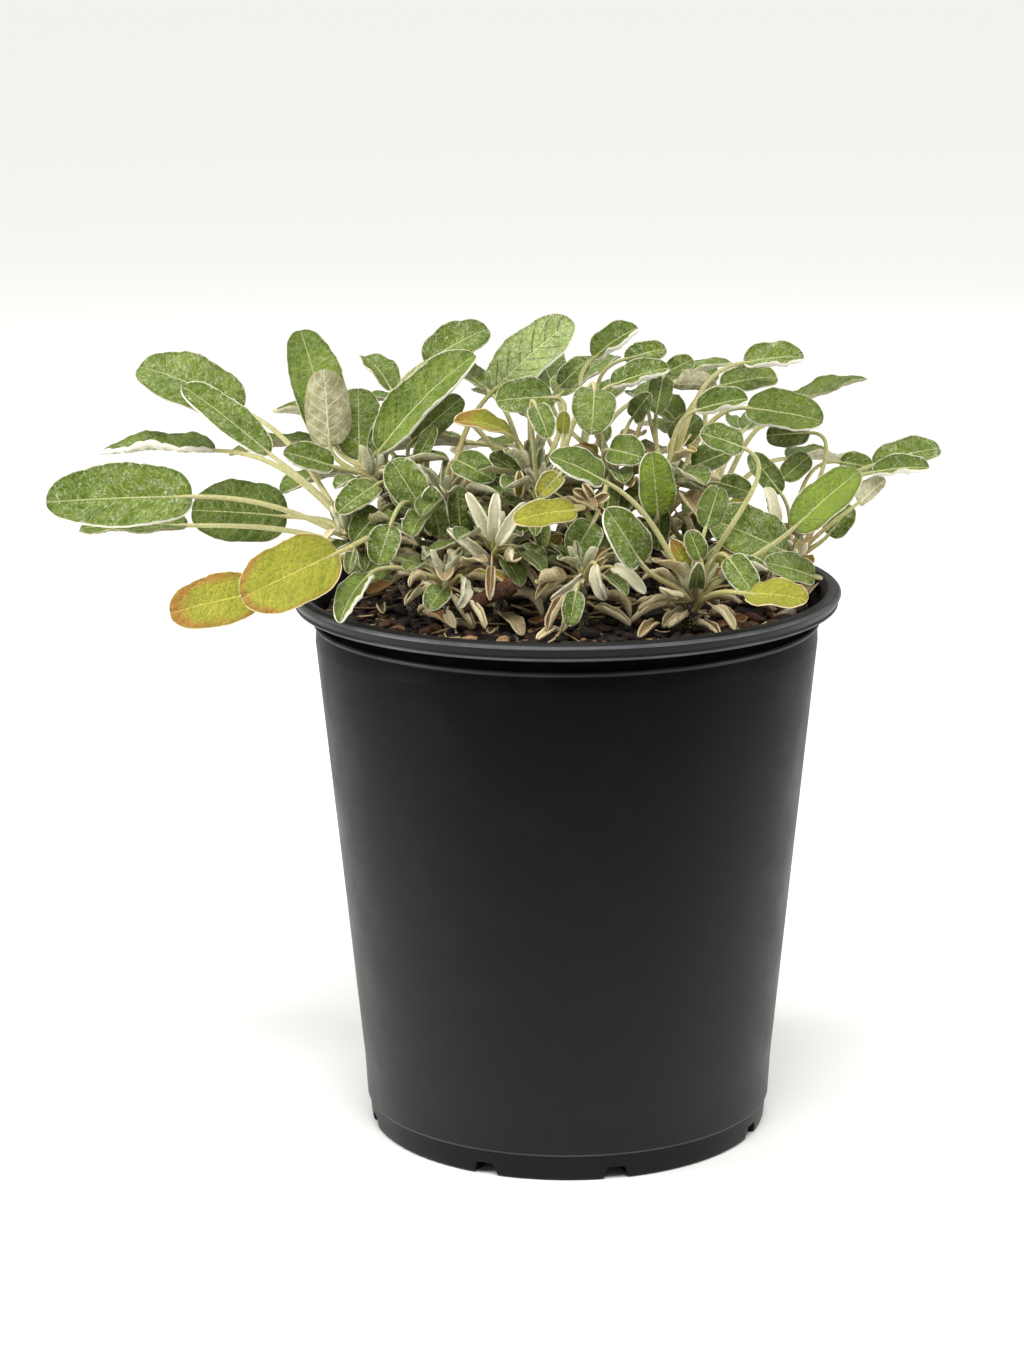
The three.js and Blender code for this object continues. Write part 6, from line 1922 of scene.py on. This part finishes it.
def build_crumbs(soil, leaves):
    """Fine litter: bark crumbs, a broken twig, flakes of leaf and dry straws strewn over the soil."""
    crumbs = joined(list(crumb_shapes(soil.crumbs)))
    flakes = joined(list(flake_shapes(soil.flakes, leaves)))
    straws = joined(list(straw_shapes(soil.straws)))
    add_piece("bark_crumbs", crumbs, bark_material("Composted bark crumbs", soil), "bark")
    add_piece("broken_twig", twig_shape(), bark_material("Red-brown twig bark", soil), "bark")
    add_piece("leaf_flakes", flakes, leaf_material("Withered leaf", leaves), "dead_leaf")
    add_piece("dry_straws", straws, stalk_material("Dry straw"), "withered_leaf")


class BUCKWHEAT_OT_stage(bpy.types.Operator):
    """Lay the studio floor, and set up the light and the camera"""

    bl_idname = "buckwheat.stage"
    bl_label = "Stage"

    def execute(self, context):
        build_stage(context.scene.buckwheat_stage)
        return {"FINISHED"}


class BUCKWHEAT_OT_pot(bpy.types.Operator):
    """Turn the moulded pot from its profile"""

    bl_idname = "buckwheat.pot"
    bl_label = "Pot"

    def execute(self, context):
        build_pot(context.scene.buckwheat_pot)
        return {"FINISHED"}


class BUCKWHEAT_OT_soil(bpy.types.Operator):
    """Fill the pot with lumpy bark compost"""

    bl_idname = "buckwheat.soil"
    bl_label = "Soil"

    def execute(self, context):
        build_soil(context.scene.buckwheat_soil)
        return {"FINISHED"}


class BUCKWHEAT_OT_leaves(bpy.types.Operator):
    """Grow the felted blades of every shoot"""

    bl_idname = "buckwheat.leaves"
    bl_label = "Leaf blades"

    def execute(self, context):
        build_leaves(context.scene.buckwheat_leaves)
        return {"FINISHED"}


class BUCKWHEAT_OT_stems(bpy.types.Operator):
    """Grow the woody stem and the stalks of every shoot"""

    bl_idname = "buckwheat.stems"
    bl_label = "Stems and stalks"

    def execute(self, context):
        build_stems(context.scene.buckwheat_leaves)
        return {"FINISHED"}


class BUCKWHEAT_OT_small_leaves(bpy.types.Operator):
    """Add withered leaves, small leaves under the canopy and new leaves round the crowns"""

    bl_idname = "buckwheat.small_leaves"
    bl_label = "Small leaves"

    def execute(self, context):
        build_small_leaves(context.scene.buckwheat_leaves)
        return {"FINISHED"}


class BUCKWHEAT_OT_coloured_leaves(bpy.types.Operator):
    """Grow the yellow and orange leaves with their stalks"""

    bl_idname = "buckwheat.coloured_leaves"
    bl_label = "Yellow and orange leaves"

    def execute(self, context):
        build_coloured_leaves(context.scene.buckwheat_leaves)
        return {"FINISHED"}


class BUCKWHEAT_OT_litter(bpy.types.Operator):
    """Lay the larger bark, dead leaves and pebbles on the soil"""

    bl_idname = "buckwheat.litter"
    bl_label = "Larger litter"

    def execute(self, context):
        build_litter(context.scene.buckwheat_soil, context.scene.buckwheat_leaves)
        return {"FINISHED"}


class BUCKWHEAT_OT_crumbs(bpy.types.Operator):
    """Strew bark crumbs, leaf flakes, straws and a broken twig over the soil"""

    bl_idname = "buckwheat.crumbs"
    bl_label = "Crumbs, flakes and straws"

    def execute(self, context):
        build_crumbs(context.scene.buckwheat_soil, context.scene.buckwheat_leaves)
        return {"FINISHED"}


class BUCKWHEAT_PT_panel(bpy.types.Panel):
    """The buckwheat's pieces and what can be set for them"""

    bl_label = "Potted Red Buckwheat"
    bl_idname = "BUCKWHEAT_PT_panel"
    bl_space_type = "VIEW_3D"
    bl_region_type = "UI"
    bl_category = "Buckwheat"

    def draw(self, context):
        for operator in OPERATORS:
            self.layout.operator(operator.bl_idname)
        for name, group in SETTINGS.items():
            box = self.layout.box()
            box.label(text=group.__doc__)
            for prop in group.__annotations__:
                box.prop(getattr(context.scene, name), prop)


OPERATORS = (
    BUCKWHEAT_OT_stage,
    BUCKWHEAT_OT_pot,
    BUCKWHEAT_OT_soil,
    BUCKWHEAT_OT_leaves,
    BUCKWHEAT_OT_stems,
    BUCKWHEAT_OT_small_leaves,
    BUCKWHEAT_OT_coloured_leaves,
    BUCKWHEAT_OT_litter,
    BUCKWHEAT_OT_crumbs,
)
SETTINGS = {
    "buckwheat_pot": BuckwheatPotSettings,
    "buckwheat_soil": BuckwheatSoilSettings,
    "buckwheat_leaves": BuckwheatLeafSettings,
    "buckwheat_stage": BuckwheatStageSettings,
}


def register():
    """Adds the settings, the operators and the panel to Blender."""
    for name, group in SETTINGS.items():
        bpy.utils.register_class(group)
        setattr(bpy.types.Scene, name, bpy.props.PointerProperty(type=group))
    for each in (*OPERATORS, BUCKWHEAT_PT_panel):
        bpy.utils.register_class(each)


def unregister():
    """Takes them out again."""
    for each in (BUCKWHEAT_PT_panel, *reversed(OPERATORS)):
        bpy.utils.unregister_class(each)
    for name, group in reversed(SETTINGS.items()):
        delattr(bpy.types.Scene, name)
        bpy.utils.unregister_class(group)


def main():
    """Builds every piece round the model, in metres."""
    register()
    bpy.ops.buckwheat.stage()
    bpy.ops.buckwheat.pot()
    bpy.ops.buckwheat.soil()
    bpy.ops.buckwheat.leaves()
    bpy.ops.buckwheat.stems()
    bpy.ops.buckwheat.small_leaves()
    bpy.ops.buckwheat.coloured_leaves()
    bpy.ops.buckwheat.litter()
    bpy.ops.buckwheat.crumbs()


if __name__ == "__main__":
    main()
